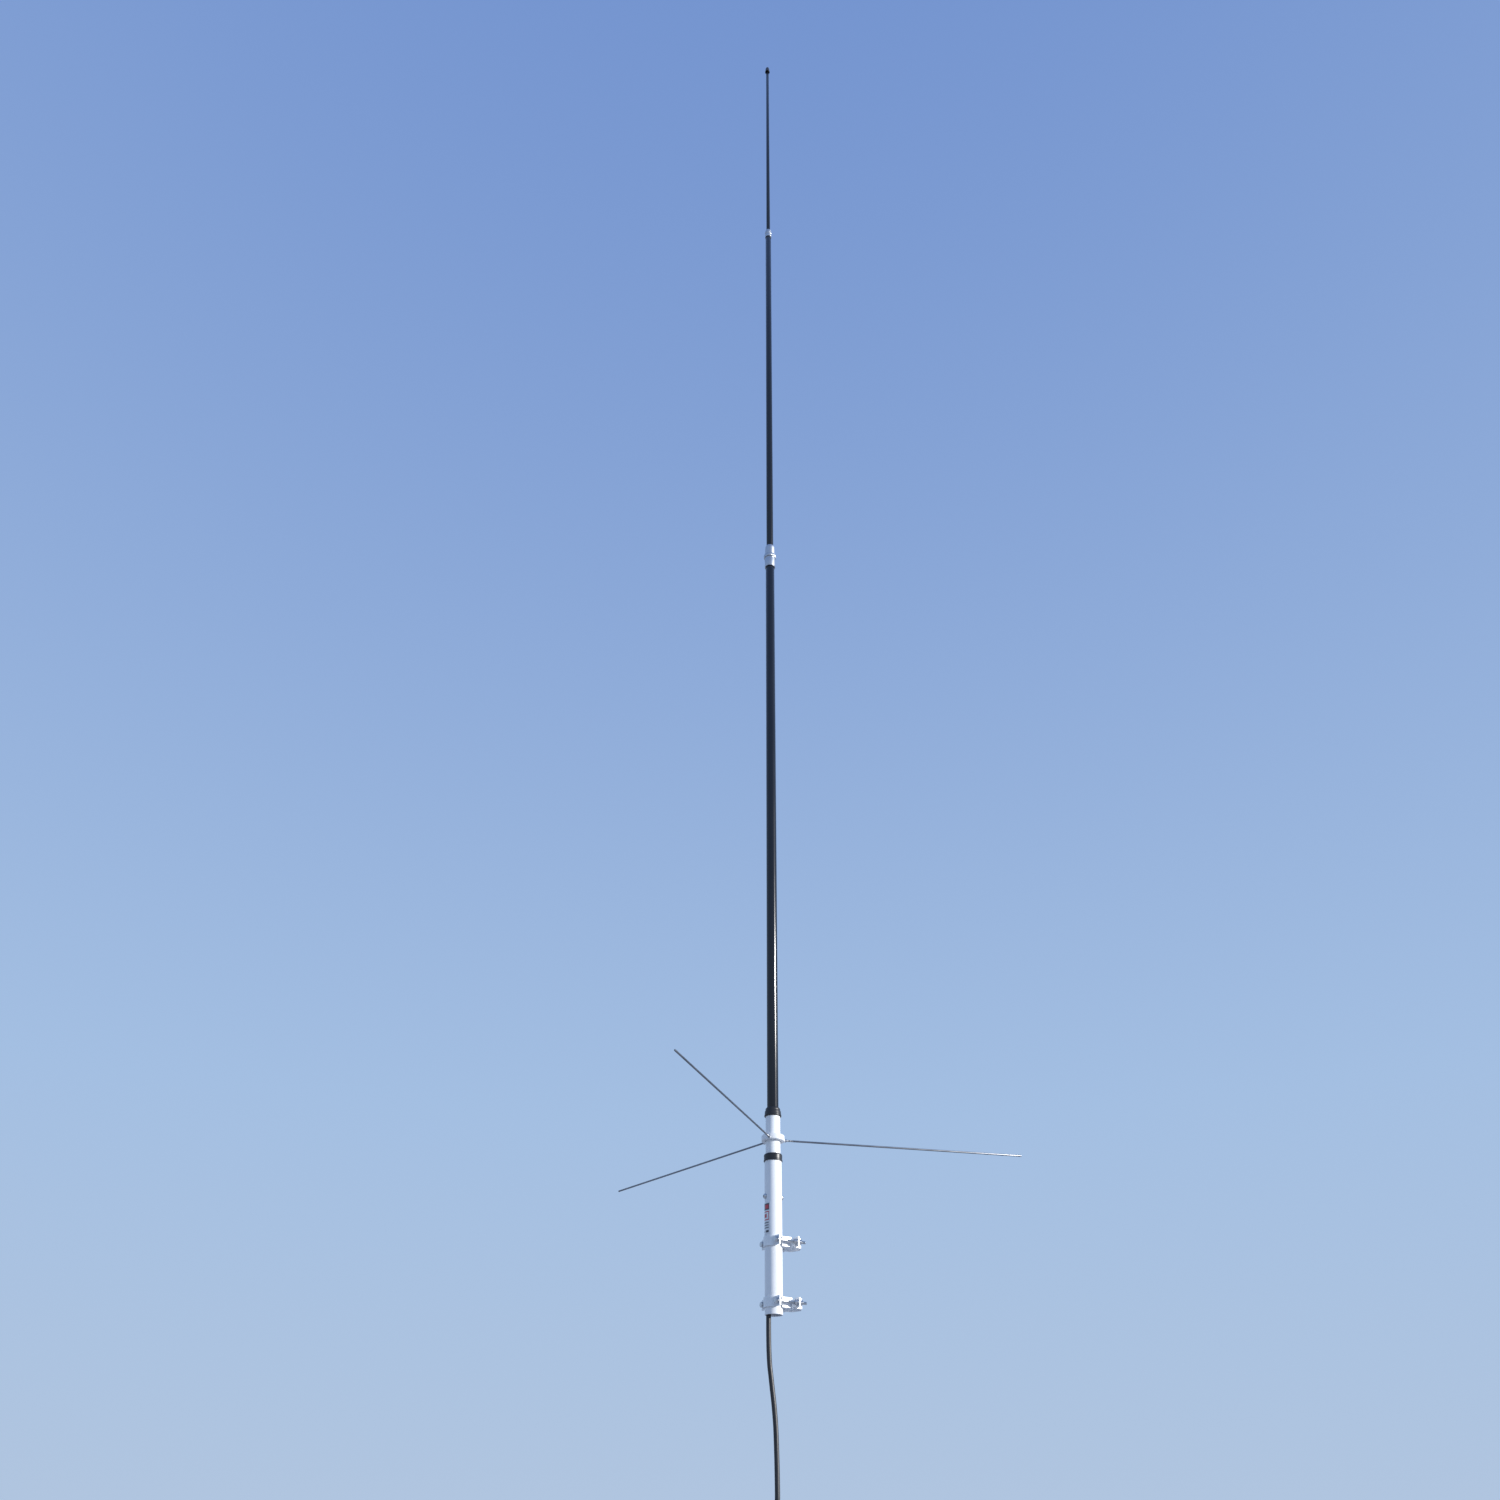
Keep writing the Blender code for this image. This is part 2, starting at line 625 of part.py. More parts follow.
def make_radiators(materials, axis):
    """The matching coil in the sleeve, and the wire in each section with its phasing coil."""
    lower, upper = joint_levels(JOINTS["lower"]), joint_levels(JOINTS["upper"])
    copper = materials["copper"]
    matching_top = 256 * MM
    matching = coiled_wire(196.3 * MM, matching_top, 199 * MM, 253 * MM, 5, 8.5 * MM)
    wire("matching_coil", matching, 1.5 * MM, copper, axis, 1)

    wires = (
        ("lower", matching_top + GAP, lower["pin_bottom"] - GAP, 1150 * MM, 7 * MM, 1.5 * MM),
        ("middle", lower["pin_top"] + GAP, upper["pin_bottom"] - GAP, 2940 * MM, 5.4 * MM, 1.25 * MM),
    )
    coil_length, turns = 70 * MM, 6
    for name, start, end, centre, coil_radius, wire_radius in wires:
        low, high = centre - coil_length / 2, centre + coil_length / 2
        path = coiled_wire(start, end, low, high, turns, coil_radius)
        wire(f"{name}_radiator", path, wire_radius, copper, axis, 1)
        former_radius = coil_radius - wire_radius - 0.4 * MM
        inset = 1.6 * coil_length / turns
        foot, head = low + inset, high - inset
        former = ((0, foot), (former_radius, foot), (former_radius, head), (0, head))
        turned(f"{name}_coil_former", former, materials["insulator"], axis, sides=16)
    top_wire = [(0, 0, upper["pin_top"] + GAP), (0, 0, TIP_Z - CAP_HEIGHT + 15 * MM)]
    wire("upper_radiator", top_wire, 1.2 * MM, copper, axis, 1)


def mirrored(outline):
    """The outline's +Y half, continued by its mirror image from the last point back to the first."""
    return outline + [(x, -y) for x, y in reversed(outline) if abs(y) > 0.01 * MM]


def band_outline():
    """Half a ring round the pipe, with an ear each side, seen from above about the pipe's axis."""
    inner = PIPE_RADIUS + GAP
    outer = inner + BAND_THICKNESS
    ear_out = BAND_EAR_X - ANTENNA_X
    ear_in = ear_out + PLATE
    start = math.degrees(math.acos(ear_in / inner))
    stop = math.degrees(math.acos(ear_out / outer))
    half = [(ear_in, EAR_Y), *arc(inner, start, 180, 10)]
    back = [*arc(outer, 180, stop, 10), (ear_out, EAR_Y)]
    lower_half = [(x, -y) for x, y in reversed(half[:-1])]
    lower_back = [(x, -y) for x, y in reversed(back[1:])]
    return half + lower_half + lower_back + back


def vee_x(y, apex, direction):
    """Where a V with this apex is at a height y off its middle plane."""
    return apex - direction * abs(y) / math.tan(VEE_HALF_ANGLE)


def saddle_outline():
    """The block between pipe and mast: a hollow for the pipe, and a V for the mast."""
    hollow = PIPE_RADIUS + GAP
    apex = -(MAST_RADIUS + GAP) / math.sin(VEE_HALF_ANGLE)
    reach = math.degrees(math.acos((SADDLE_SHOULDER_X - ANTENNA_X) / hollow))
    pipe_side = [(x + ANTENNA_X, y) for x, y in arc(hollow, -reach, reach, 12)]
    tip = vee_x(SADDLE_Y, apex, -1)
    return [
        *pipe_side,
        (SADDLE_SHOULDER_X, SADDLE_Y),
        (tip, SADDLE_Y),
        (apex, 0),
        (tip, -SADDLE_Y),
        (SADDLE_SHOULDER_X, -SADDLE_Y),
    ]


def jaw_outline():
    """The bent plate on the far side of the mast: ears, side walls and a V."""
    apex = (MAST_RADIUS + GAP) / math.sin(VEE_HALF_ANGLE)
    outer_apex = apex + PLATE / math.sin(VEE_HALF_ANGLE)
    wall_out = JAW_WALL_Y + PLATE
    half = [
        (apex, 0),
        (vee_x(JAW_WALL_Y, apex, 1), JAW_WALL_Y),
        (JAW_EAR_X, JAW_WALL_Y),
        (JAW_EAR_X, EAR_Y),
        (JAW_EAR_X + PLATE, EAR_Y),
        (JAW_EAR_X + PLATE, wall_out),
        (vee_x(wall_out, outer_apex, 1), wall_out),
        (outer_apex, 0),
    ]
    return mirrored(half)


def make_clamp(side, height, materials):
    """One mast clamp. Its empty is on the mast's axis, at the middle of the clamp."""
    centre = add_empty(f"{side}_clamp", (0, 0, height))
    low, high = -CLAMP_PLATE_HEIGHT / 2, CLAMP_PLATE_HEIGHT / 2
    along_x = (0, math.radians(90), 0)
    cast, steel = materials["cast"], materials["steel"]
    band = extruded(f"{side}_band", band_outline(), low, high, cast, centre, location=(ANTENNA_X, 0, 0))
    extruded(f"{side}_saddle", saddle_outline(), low, high, cast, centre)
    jaw = extruded(f"{side}_jaw", jaw_outline(), low, high, cast, centre)

    head_seat = BAND_EAR_X - GAP
    head_flange = head_seat - 1.5 * MM
    head_top = head_flange - 5.5 * MM
    corner = 0.6 * MM
    bolt = (
        (0, head_top),
        (HEX_APOTHEM - corner, head_top, "hex"),
        (HEX_APOTHEM, head_top + corner, "hex"),
        (HEX_APOTHEM, head_flange, "hex"),
        (FLANGE_RADIUS, head_flange),
        (FLANGE_RADIUS, head_seat),
        (BOLT_RADIUS, head_seat),
        (BOLT_RADIUS, BOLT_TIP_X - 1 * MM),
        (BOLT_RADIUS - 0.8 * MM, BOLT_TIP_X),
        (0, BOLT_TIP_X),
    )
    bore = BOLT_RADIUS + GAP
    nut = (
        (bore, 0),
        (FLANGE_RADIUS, 0),
        (FLANGE_RADIUS, FLANGE_THICKNESS),
        (HEX_APOTHEM, FLANGE_THICKNESS, "hex"),
        (HEX_APOTHEM, FLANGE_THICKNESS + NUT_HEIGHT - corner, "hex"),
        (HEX_APOTHEM - corner, FLANGE_THICKNESS + NUT_HEIGHT, "hex"),
        (bore, FLANGE_THICKNESS + NUT_HEIGHT),
    )
    back = (0, math.radians(-90), 0)
    inner_seat, outer_seat = JAW_EAR_X - GAP, JAW_EAR_X + PLATE + GAP
    for name, y in (("near", -BOLT_Y), ("far", BOLT_Y)):
        turned(f"{side}_bolt_{name}", bolt, steel, centre, (0, y, 0), along_x, SMALL_ROUND)
        jam_place, clamp_place = (inner_seat, y, 0), (outer_seat, y, 0)
        turned(f"{side}_jam_nut_{name}", nut, steel, centre, jam_place, back, SMALL_ROUND, ring=True)
        turned(f"{side}_clamp_nut_{name}", nut, steel, centre, clamp_place, along_x, SMALL_ROUND, ring=True)
        hole_name, hole_radius = f"{side}_bolt_hole_{name}", bore + 0.2 * MM
        hole = cylinder_cutter(hole_name, hole_radius, head_top, BOLT_TIP_X, centre, (0, y, 0), along_x)
        boolean(band, hole, "DIFFERENCE")
        boolean(jaw, hole, "DIFFERENCE")


def make_plug(name, materials, parent, location, rotation):
    """A coaxial plug with its cable end at local zero and its mating end towards +Z."""
    body = (
        (0, 0),
        (7 * MM, 0),
        (8 * MM, 1.5 * MM),
        (8 * MM, 18.5 * MM),
        (6.2 * MM, 18.5 * MM),
        (6.2 * MM, 26.8 * MM),
        (7.8 * MM, 26.8 * MM),
        (7.8 * MM, 29.5 * MM),
        (5.2 * MM, 29.5 * MM),
        (5.2 * MM, PLUG_LENGTH),
        (0, PLUG_LENGTH),
    )
    turned(f"{name}_plug_body", body, materials["chrome"], parent, location, rotation, SMALL_ROUND)
    coupling = (
        (6.6 * MM, 18.8 * MM),
        (8.8 * MM, 18.8 * MM),
        (9.6 * MM, 19.6 * MM),
        (9.6 * MM, 50.2 * MM),
        (8.8 * MM, 51 * MM),
        (8.2 * MM, 51 * MM),
        (8.2 * MM, 26.5 * MM),
        (6.6 * MM, 26.5 * MM),
    )
    chrome = materials["chrome"]
    turned(f"{name}_plug_nut", coupling, chrome, parent, location, rotation, SMALL_ROUND, ring=True)


def entry_bend():
    """The feeder's bend from hanging straight to lying along the coil's outer turn, in the coil's plane."""
    outer = COIL_RADII[-1]
    height = math.sqrt((ENTRY_BEND + outer) ** 2 - ENTRY_BEND**2)
    solid_edge = outer + COIL_SKIN + COAX_RADIUS + 2 * GAP
    x = COIL_CENTRE.x + 1.5 * TURN_PITCH
    points = []
    step = math.radians(6)
    turn = 0
    while True:
        across = ENTRY_BEND * (1 - math.cos(turn))
        up = height - ENTRY_BEND * math.sin(turn)
        if math.hypot(across, up) < solid_edge:
            return points
        points.append(Vector((x, COIL_CENTRE.y + across, COIL_CENTRE.z + up)))
        turn += step


def make_feeder(materials, axis):
    """The plug in the socket, the cable down to its tied coil, and the plug on its free end."""
    cable = materials["cable"]
    make_plug("near", materials, axis, (0, 0, PLUG_TOP_Z - PLUG_LENGTH), (0, 0, 0))
    hanging = [Vector(point) + Vector((ANTENNA_X, 0, 0)) for point in COAX_ROUTE]
    run = smooth_path([*hanging, *entry_bend()], 11 * MM)
    wire("coax_run", run, COAX_RADIUS, cable, None, 2)

    half_width = (TURNS_WIDE / 2) * TURN_PITCH + 0.1 * MM
    inner, outer = COIL_RADII[0] - COIL_SKIN, COIL_RADII[-1] + COIL_SKIN
    edge = 4 * MM
    coil = (
        (inner, -half_width + edge),
        (inner + edge, -half_width),
        (outer - edge, -half_width),
        (outer, -half_width + edge),
        (outer, half_width - edge),
        (outer - edge, half_width),
        (inner + edge, half_width),
        (inner, half_width - edge),
    )
    along_x = (0, math.radians(90), 0)
    turned("coax_coil", coil, cable, None, COIL_CENTRE, along_x, sides=40, ring=True)

    clear = 0.5 * MM
    low, high, wide = inner - clear, outer + clear, half_width + clear
    thick = TIE_THICKNESS
    tie_hole = [(low, -wide), (high, -wide), (high, wide), (low, wide)]
    tie_edge = [(low - thick, -wide - thick), (high + thick, -wide - thick)]
    tie_edge += [(high + thick, wide + thick), (low - thick, wide + thick)]
    radial = Vector((0, math.cos(TIE_ANGLE), math.sin(TIE_ANGLE)))
    sideways = Vector((1, 0, 0))
    tie_turn = Matrix((radial, sideways, radial.cross(sideways))).transposed().to_euler()
    tie = bmesh.new()
    rows = []
    for z in (-TIE_WIDTH / 2, TIE_WIDTH / 2):
        for outline in (tie_hole, tie_edge):
            rows.append([tie.verts.new((along, across, z)) for along, across in outline])
    for first, second in ((0, 1), (1, 3), (3, 2), (2, 0)):
        for corner in range(4):
            following = (corner + 1) % 4
            tie.faces.new(
                (rows[first][corner], rows[first][following], rows[second][following], rows[second][corner])
            )
    finish_mesh("coil_tie", tie, materials["black_plastic"], None, COIL_CENTRE, tie_turn)

    make_tail(materials)


def make_tail(materials):
    """The cable's free end, which leaves the coil's face and hangs in front of it."""
    inner = COIL_RADII[0]
    steps = 5
    face_x = COIL_CENTRE.x - 2 * TURN_PITCH - COAX_RADIUS - 2 * GAP
    points = []
    for step in range(steps + 1):
        share = step / steps
        angle = TAIL_FROM * (1 - share)
        x = face_x + (TAIL_X - face_x) * math.sin(math.radians(90) * share)
        points.append((x, COIL_CENTRE.y + inner * math.cos(angle), COIL_CENTRE.z + inner * math.sin(angle)))
    side_y = COIL_CENTRE.y + inner
    points.append((TAIL_X, side_y, TAIL_BOTTOM))
    wire("coax_tail", points, COAX_RADIUS, materials["cable"], None, 2)
    down = (math.radians(180), 0, 0)
    make_plug("far", materials, None, (TAIL_X, side_y, TAIL_BOTTOM - GAP), down)


def main():
    clear_scene()
    materials = make_materials()
    axis = add_empty("antenna_axis", (ANTENNA_X, 0, 0))
    make_base(materials, axis)
    make_ground_plane(materials, axis)
    for side, joint in JOINTS.items():
        make_section_joint(side, joint, materials, axis)
    make_radomes(materials, axis)
    make_radiators(materials, axis)
    for side, height in CLAMP_HEIGHTS.items():
        make_clamp(side, height, materials)
    make_feeder(materials, axis)


main()
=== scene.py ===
"""Looks of the omnidirectional base-station antenna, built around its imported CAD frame.

Metres, +Z up. The origin is on the mast's axis between the two clamps, and the antenna stands
at x = ANTENNA_X. Each turned piece is made about its own Z and placed by a matrix.
"""

import json
import math

import bmesh
import bpy
from mathutils import Matrix, Vector

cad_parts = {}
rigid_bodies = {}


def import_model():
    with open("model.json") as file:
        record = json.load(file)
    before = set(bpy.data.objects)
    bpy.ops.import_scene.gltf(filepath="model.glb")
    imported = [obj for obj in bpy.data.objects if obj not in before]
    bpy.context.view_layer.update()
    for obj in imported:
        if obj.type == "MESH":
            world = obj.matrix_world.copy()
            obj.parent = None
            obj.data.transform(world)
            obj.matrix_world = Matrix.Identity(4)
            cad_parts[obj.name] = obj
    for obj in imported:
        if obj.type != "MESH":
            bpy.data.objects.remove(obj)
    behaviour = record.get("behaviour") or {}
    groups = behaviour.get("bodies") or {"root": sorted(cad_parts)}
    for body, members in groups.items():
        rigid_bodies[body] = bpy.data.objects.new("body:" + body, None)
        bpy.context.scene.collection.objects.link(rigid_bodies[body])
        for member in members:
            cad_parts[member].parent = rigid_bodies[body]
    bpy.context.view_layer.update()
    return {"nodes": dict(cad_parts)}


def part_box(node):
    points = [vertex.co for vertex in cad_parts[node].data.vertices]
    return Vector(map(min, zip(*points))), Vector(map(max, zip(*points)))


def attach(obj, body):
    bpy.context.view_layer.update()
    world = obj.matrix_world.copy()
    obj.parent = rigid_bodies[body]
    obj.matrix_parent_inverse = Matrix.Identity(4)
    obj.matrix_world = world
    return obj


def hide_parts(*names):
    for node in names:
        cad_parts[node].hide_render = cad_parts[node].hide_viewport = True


MM = 0.001
GAP = 0.3 * MM  # air between two pieces that touch, as in the frame
WELD = 0.001 * MM
SHARP_ANGLE = math.radians(32)
ANTENNA_X = -43 * MM

# Camera: how far it stands from the hub's rods, and how it is turned (degrees).
CAMERA_BACK = 2.7133
CAMERA_BELOW = 0.8058
CAMERA_AWAY = Vector((0.5, 0.866, 0))
CAMERA_PITCH = 34.6212
CAMERA_YAW = -1.2200
CAMERA_ROLL = -0.3949
CAMERA_LENS = 28.666

# Light: a low key from the camera's right (degrees), and a pale sky all round.
KEY_TOWARDS_RIGHT = 69
KEY_ELEVATION = 15
KEY_STRENGTH = 5
KEY_SPREAD = 3
KEY_COLOUR = (1, 0.975, 0.94)
# The world's colour at heights in the sky, from -1 straight down to 1 straight up.
SKY = (
    (-0.04, (0.3, 0.31, 0.32)),
    (0.02, (0.44, 0.56, 0.74)),
    (0.3, (0.37, 0.52, 0.76)),
    (0.95, (0.17, 0.29, 0.62)),
)
FLOOR_Z = -760 * MM
FLOOR_SIZE = 30

# Feeder: the same cable line as in the frame, from the antenna's axis down to the coil.
COAX_RADIUS = 5.15 * MM
COAX_EXIT_Z = 84.7 * MM
TURN_PITCH = 10.4 * MM
COIL_RADII = (51.4 * MM, 61.8 * MM, 72.2 * MM)
COIL_CENTRE = Vector((-54.2 * MM, -2.6 * MM, -515 * MM))
COIL_TURNS = 11
FIRST_STEP = 267  # degrees wound before the cable first steps aside, then once a turn
STEPS_ASIDE = 3  # steps in a layer that is four turns wide
FIRST_CLIMB = 1287  # degrees wound before it climbs from the outer layer to the next
LAYER_SWEEP = 1320  # degrees wound in a layer, with the climb
ENTRY_BEND = 45 * MM
TAIL_X = -85.8 * MM
TAIL_BOTTOM = -533 * MM
TIE_ANGLE = math.radians(125)
COAX_ROUTE = (
    (0, 0, COAX_EXIT_Z),
    (0, 0, 45 * MM),
    (-3.5 * MM, 2 * MM, -5 * MM),
    (-8.3 * MM, 4.8 * MM, -50 * MM),
    (-9.5 * MM, 5.5 * MM, -85 * MM),
    (-9.3 * MM, 5.4 * MM, -139 * MM),
    (-8 * MM, 4.6 * MM, -174 * MM),
    (-5.8 * MM, 3.4 * MM, -196 * MM),
    (-3.4 * MM, 2 * MM, -220 * MM),
    (-1 * MM, 0.6 * MM, -243 * MM),
    (0.9 * MM, -0.5 * MM, -266 * MM),
    (2.3 * MM, -1.3 * MM, -288 * MM),
    (3.3 * MM, -1.9 * MM, -321 * MM),
    (4 * MM, -2.3 * MM, -353 * MM),
    (4.4 * MM, -2.6 * MM, -390 * MM),
)

# Base pipe, sleeve and the pieces on them.
PIPE_RADIUS = 19 * MM
PIPE_WALL = 2.2 * MM
SLEEVE_RADIUS = 16.5 * MM
SLEEVE_WALL = 2 * MM
SEAL_RADIUS = 21 * MM
SCREW_Z = 153.8 * MM
SCREW_AZIMUTHS = {"pipe_screw_left": 175, "pipe_screw_right": 355}
LABEL_FROM, LABEL_TO = 130, 218

# Ground plane: a hub, and rods that lie level at ROD_Z.
ROD_Z = 278 * MM
HUB_RADIUS = 26 * MM
HUB_EDGE = 2.2 * MM
BOSS_RADIUS = 3.5 * MM
BOSS_REACH = 27 * MM
ROD_RADIUS = 2 * MM
ROD_ROOT = 18.5 * MM
ROD_THREAD_END = 46 * MM
ROD_THREAD_DEPTH = 0.3 * MM
ROD_PITCH = 0.7 * MM
ROD_REACH = 591 * MM
ROD_AZIMUTHS = (-18, 102, 222)
ROD_NUT_ACROSS = 3.5 * MM  # from the middle to a flat
ROD_NUT_HEIGHT = 3.2 * MM

# Radomes, and the two joints between them.
LOWER_RADIUS = 13.1 * MM
MIDDLE_RADIUS = 10.4 * MM
UPPER_RADIUS = 7.1 * MM
TIP_RADIUS = 5.95 * MM
CAP_RADIUS = 10.4 * MM
SECTION_JOINTS = {
    "lower": {
        "below": LOWER_RADIUS,
        "above": MIDDLE_RADIUS,
        "ferrule_radius": 15.9 * MM,
        "nut_radius": 18.6 * MM,
        "nut_bore": 13.9 * MM,
        "lip_bore": 12.4 * MM,
        "lip": 4.5 * MM,
        "flange": 3.1 * MM,
        "nose_bore": 9.6 * MM,
        "neck": 12 * MM,
        "web": 4.5 * MM,
        "shoulder_radius": 14.7 * MM,
        "shoulder_height": 30 * MM,
        "cone_top_radius": 11.6 * MM,
        "flutes": 56,
    },
    "upper": {
        "below": MIDDLE_RADIUS,
        "above": UPPER_RADIUS,
        "ferrule_radius": 12 * MM,
        "nut_radius": 12.9 * MM,
        "nut_bore": 10.3 * MM,
        "lip_bore": 9.1 * MM,
        "lip": 3.5 * MM,
        "flange": 2.6 * MM,
        "nose_bore": 7.6 * MM,
        "neck": 8.7 * MM,
        "web": 3.5 * MM,
        "shoulder_radius": 11.6 * MM,
        "shoulder_height": 10 * MM,
        "cone_top_radius": 8.4 * MM,
        "flutes": 40,
    },
}

# Mast clamps.
CLAMP_HEIGHTS = {"upper": 60 * MM, "lower": -60 * MM}
MAST_RADIUS = 17.5 * MM
PLATE = 3 * MM
BAND_THICKNESS = 2.5 * MM
EAR_Y = 38 * MM
BOLT_Y = 30 * MM
BOLT_RADIUS = 3 * MM
BOLT_TIP_X = 18.5 * MM
BOLT_THREAD_FROM = -28 * MM
BOLT_PITCH = 1 * MM
BOLT_THREAD_DEPTH = 0.45 * MM
NUT_ACROSS = 5 * MM  # from the middle to a flat
HEX_CHAMFER = 0.9 * MM
BAND_EAR_X = -50.5 * MM
JAW_EAR_X = -3.5 * MM
JAW_WALL_Y = 18.6 * MM
SADDLE_Y = 21.5 * MM
SADDLE_SHOULDER_X = -34 * MM
VEE_HALF_ANGLE = math.radians(65)
TOOTH = 1.5 * MM
FLANGE_RADIUS = 6.4 * MM
PLUG_LENGTH = 52.5 * MM
HEX_CORNER = 2 / math.sqrt(3)  # a hexagon's corner, from its middle, over its flat
ALONG_X = Matrix.Rotation(math.radians(90), 4, "Y")
AGAINST_X = Matrix.Rotation(math.radians(-90), 4, "Y")

# Finishes: darker and lighter colour, metallic, lower and higher roughness, grain and patches per
# metre along X, Y and Z, relief in metres, and clear coat.
FINISHES = {
    "white_paint": (
        (0.68, 0.7, 0.72), (0.83, 0.84, 0.85),
        0, 0.28, 0.44, (700, 700, 700), (60, 60, 7), 4e-6, 0.15,
    ),
    "cast_fitting": (
        (0.5, 0.51, 0.52), (0.68, 0.69, 0.7),
        1, 0.3, 0.5, (0, 0, 1400), (30, 30, 30), 6e-6, 0,
    ),
    "black_plastic": (
        (0.007, 0.007, 0.009), (0.02, 0.02, 0.022),
        0, 0.3, 0.46, (1500, 1500, 1500), (60, 60, 20), 5e-6, 0,
    ),
    "black_radome": (
        (0.002, 0.003, 0.006), (0.007, 0.009, 0.015),
        0, 0.15, 0.25, (900, 900, 8), (50, 50, 3), 8e-7, 0,
    ),
    "plated_brass": (
        (0.44, 0.47, 0.52), (0.64, 0.66, 0.69),
        1, 0.34, 0.48, (60, 60, 1900), (70, 70, 12), 3e-6, 0,
    ),
    "stainless_steel": (
        (0.46, 0.47, 0.48), (0.7, 0.71, 0.72),
        1, 0.2, 0.38, (1600, 1600, 60), (90, 90, 90), 4e-6, 0,
    ),
    "zinc_plated_steel": (
        (0.66, 0.68, 0.7), (0.86, 0.87, 0.88),
        0.4, 0.32, 0.55, (420, 420, 420), (130, 130, 130), 8e-6, 0,
    ),
    "copper": (
        (0.5, 0.2, 0.1), (0.8, 0.42, 0.25),
        1, 0.2, 0.4, (900, 900, 120), (30, 30, 30), 6e-6, 0,
    ),
    "insulator": (
        (0.74, 0.7, 0.6), (0.88, 0.86, 0.78),
        0, 0.4, 0.6, (600, 600, 600), (25, 25, 25), 1e-5, 0,
    ),
    "cable_jacket": (
        (0.008, 0.008, 0.009), (0.026, 0.026, 0.028),
        0, 0.34, 0.55, (520, 520, 520), (25, 25, 25), 1e-5, 0,
    ),
    "tie_nylon": (
        (0.014, 0.014, 0.014), (0.035, 0.035, 0.035),
        0, 0.35, 0.5, (1300, 1300, 1300), (60, 60, 60), 6e-6, 0,
    ),
    "rod_steel": (
        (0.16, 0.17, 0.19), (0.3, 0.31, 0.33),
        1, 0.26, 0.42, (1600, 1600, 40), (14, 14, 14), 3e-6, 0,
    ),
    "label_dark": (
        (0.02, 0.02, 0.035), (0.04, 0.04, 0.06),
        0, 0.25, 0.4, (900, 900, 900), (80, 80, 20), 3e-6, 0.3,
    ),
    "label_red": (
        (0.42, 0.015, 0.03), (0.58, 0.04, 0.06),
        0, 0.25, 0.4, (900, 900, 900), (80, 80, 20), 3e-6, 0.3,
    ),
    "label_grey": (
        (0.12, 0.13, 0.15), (0.2, 0.21, 0.23),
        0, 0.25, 0.4, (900, 900, 900), (80, 80, 20), 3e-6, 0.3,
    ),
    "printed_foil": (
        (0.56, 0.57, 0.59), (0.72, 0.73, 0.75),
        0.35, 0.25, 0.4, (900, 900, 900), (80, 80, 20), 3e-6, 0.3,
    ),
    "floor_plaster": (
        (0.4, 0.41, 0.42), (0.46, 0.47, 0.48),
        0, 0.7, 0.85, (30, 30, 30), (2, 2, 2), 1e-5, 0,
    ),
}

CARRIED_NODES = {
    "cast_fitting": ("base_fitting",),
    "plated_brass": ("connector_socket",),
    "insulator": ("lower_contact_pin", "upper_contact_pin", "lower_coil_former", "middle_coil_former"),
    "copper": ("matching_coil", "lower_radiator", "middle_radiator", "upper_radiator"),
}


def remove_startup_objects():
    for obj in list(bpy.data.objects):
        bpy.data.objects.remove(obj, do_unlink=True)


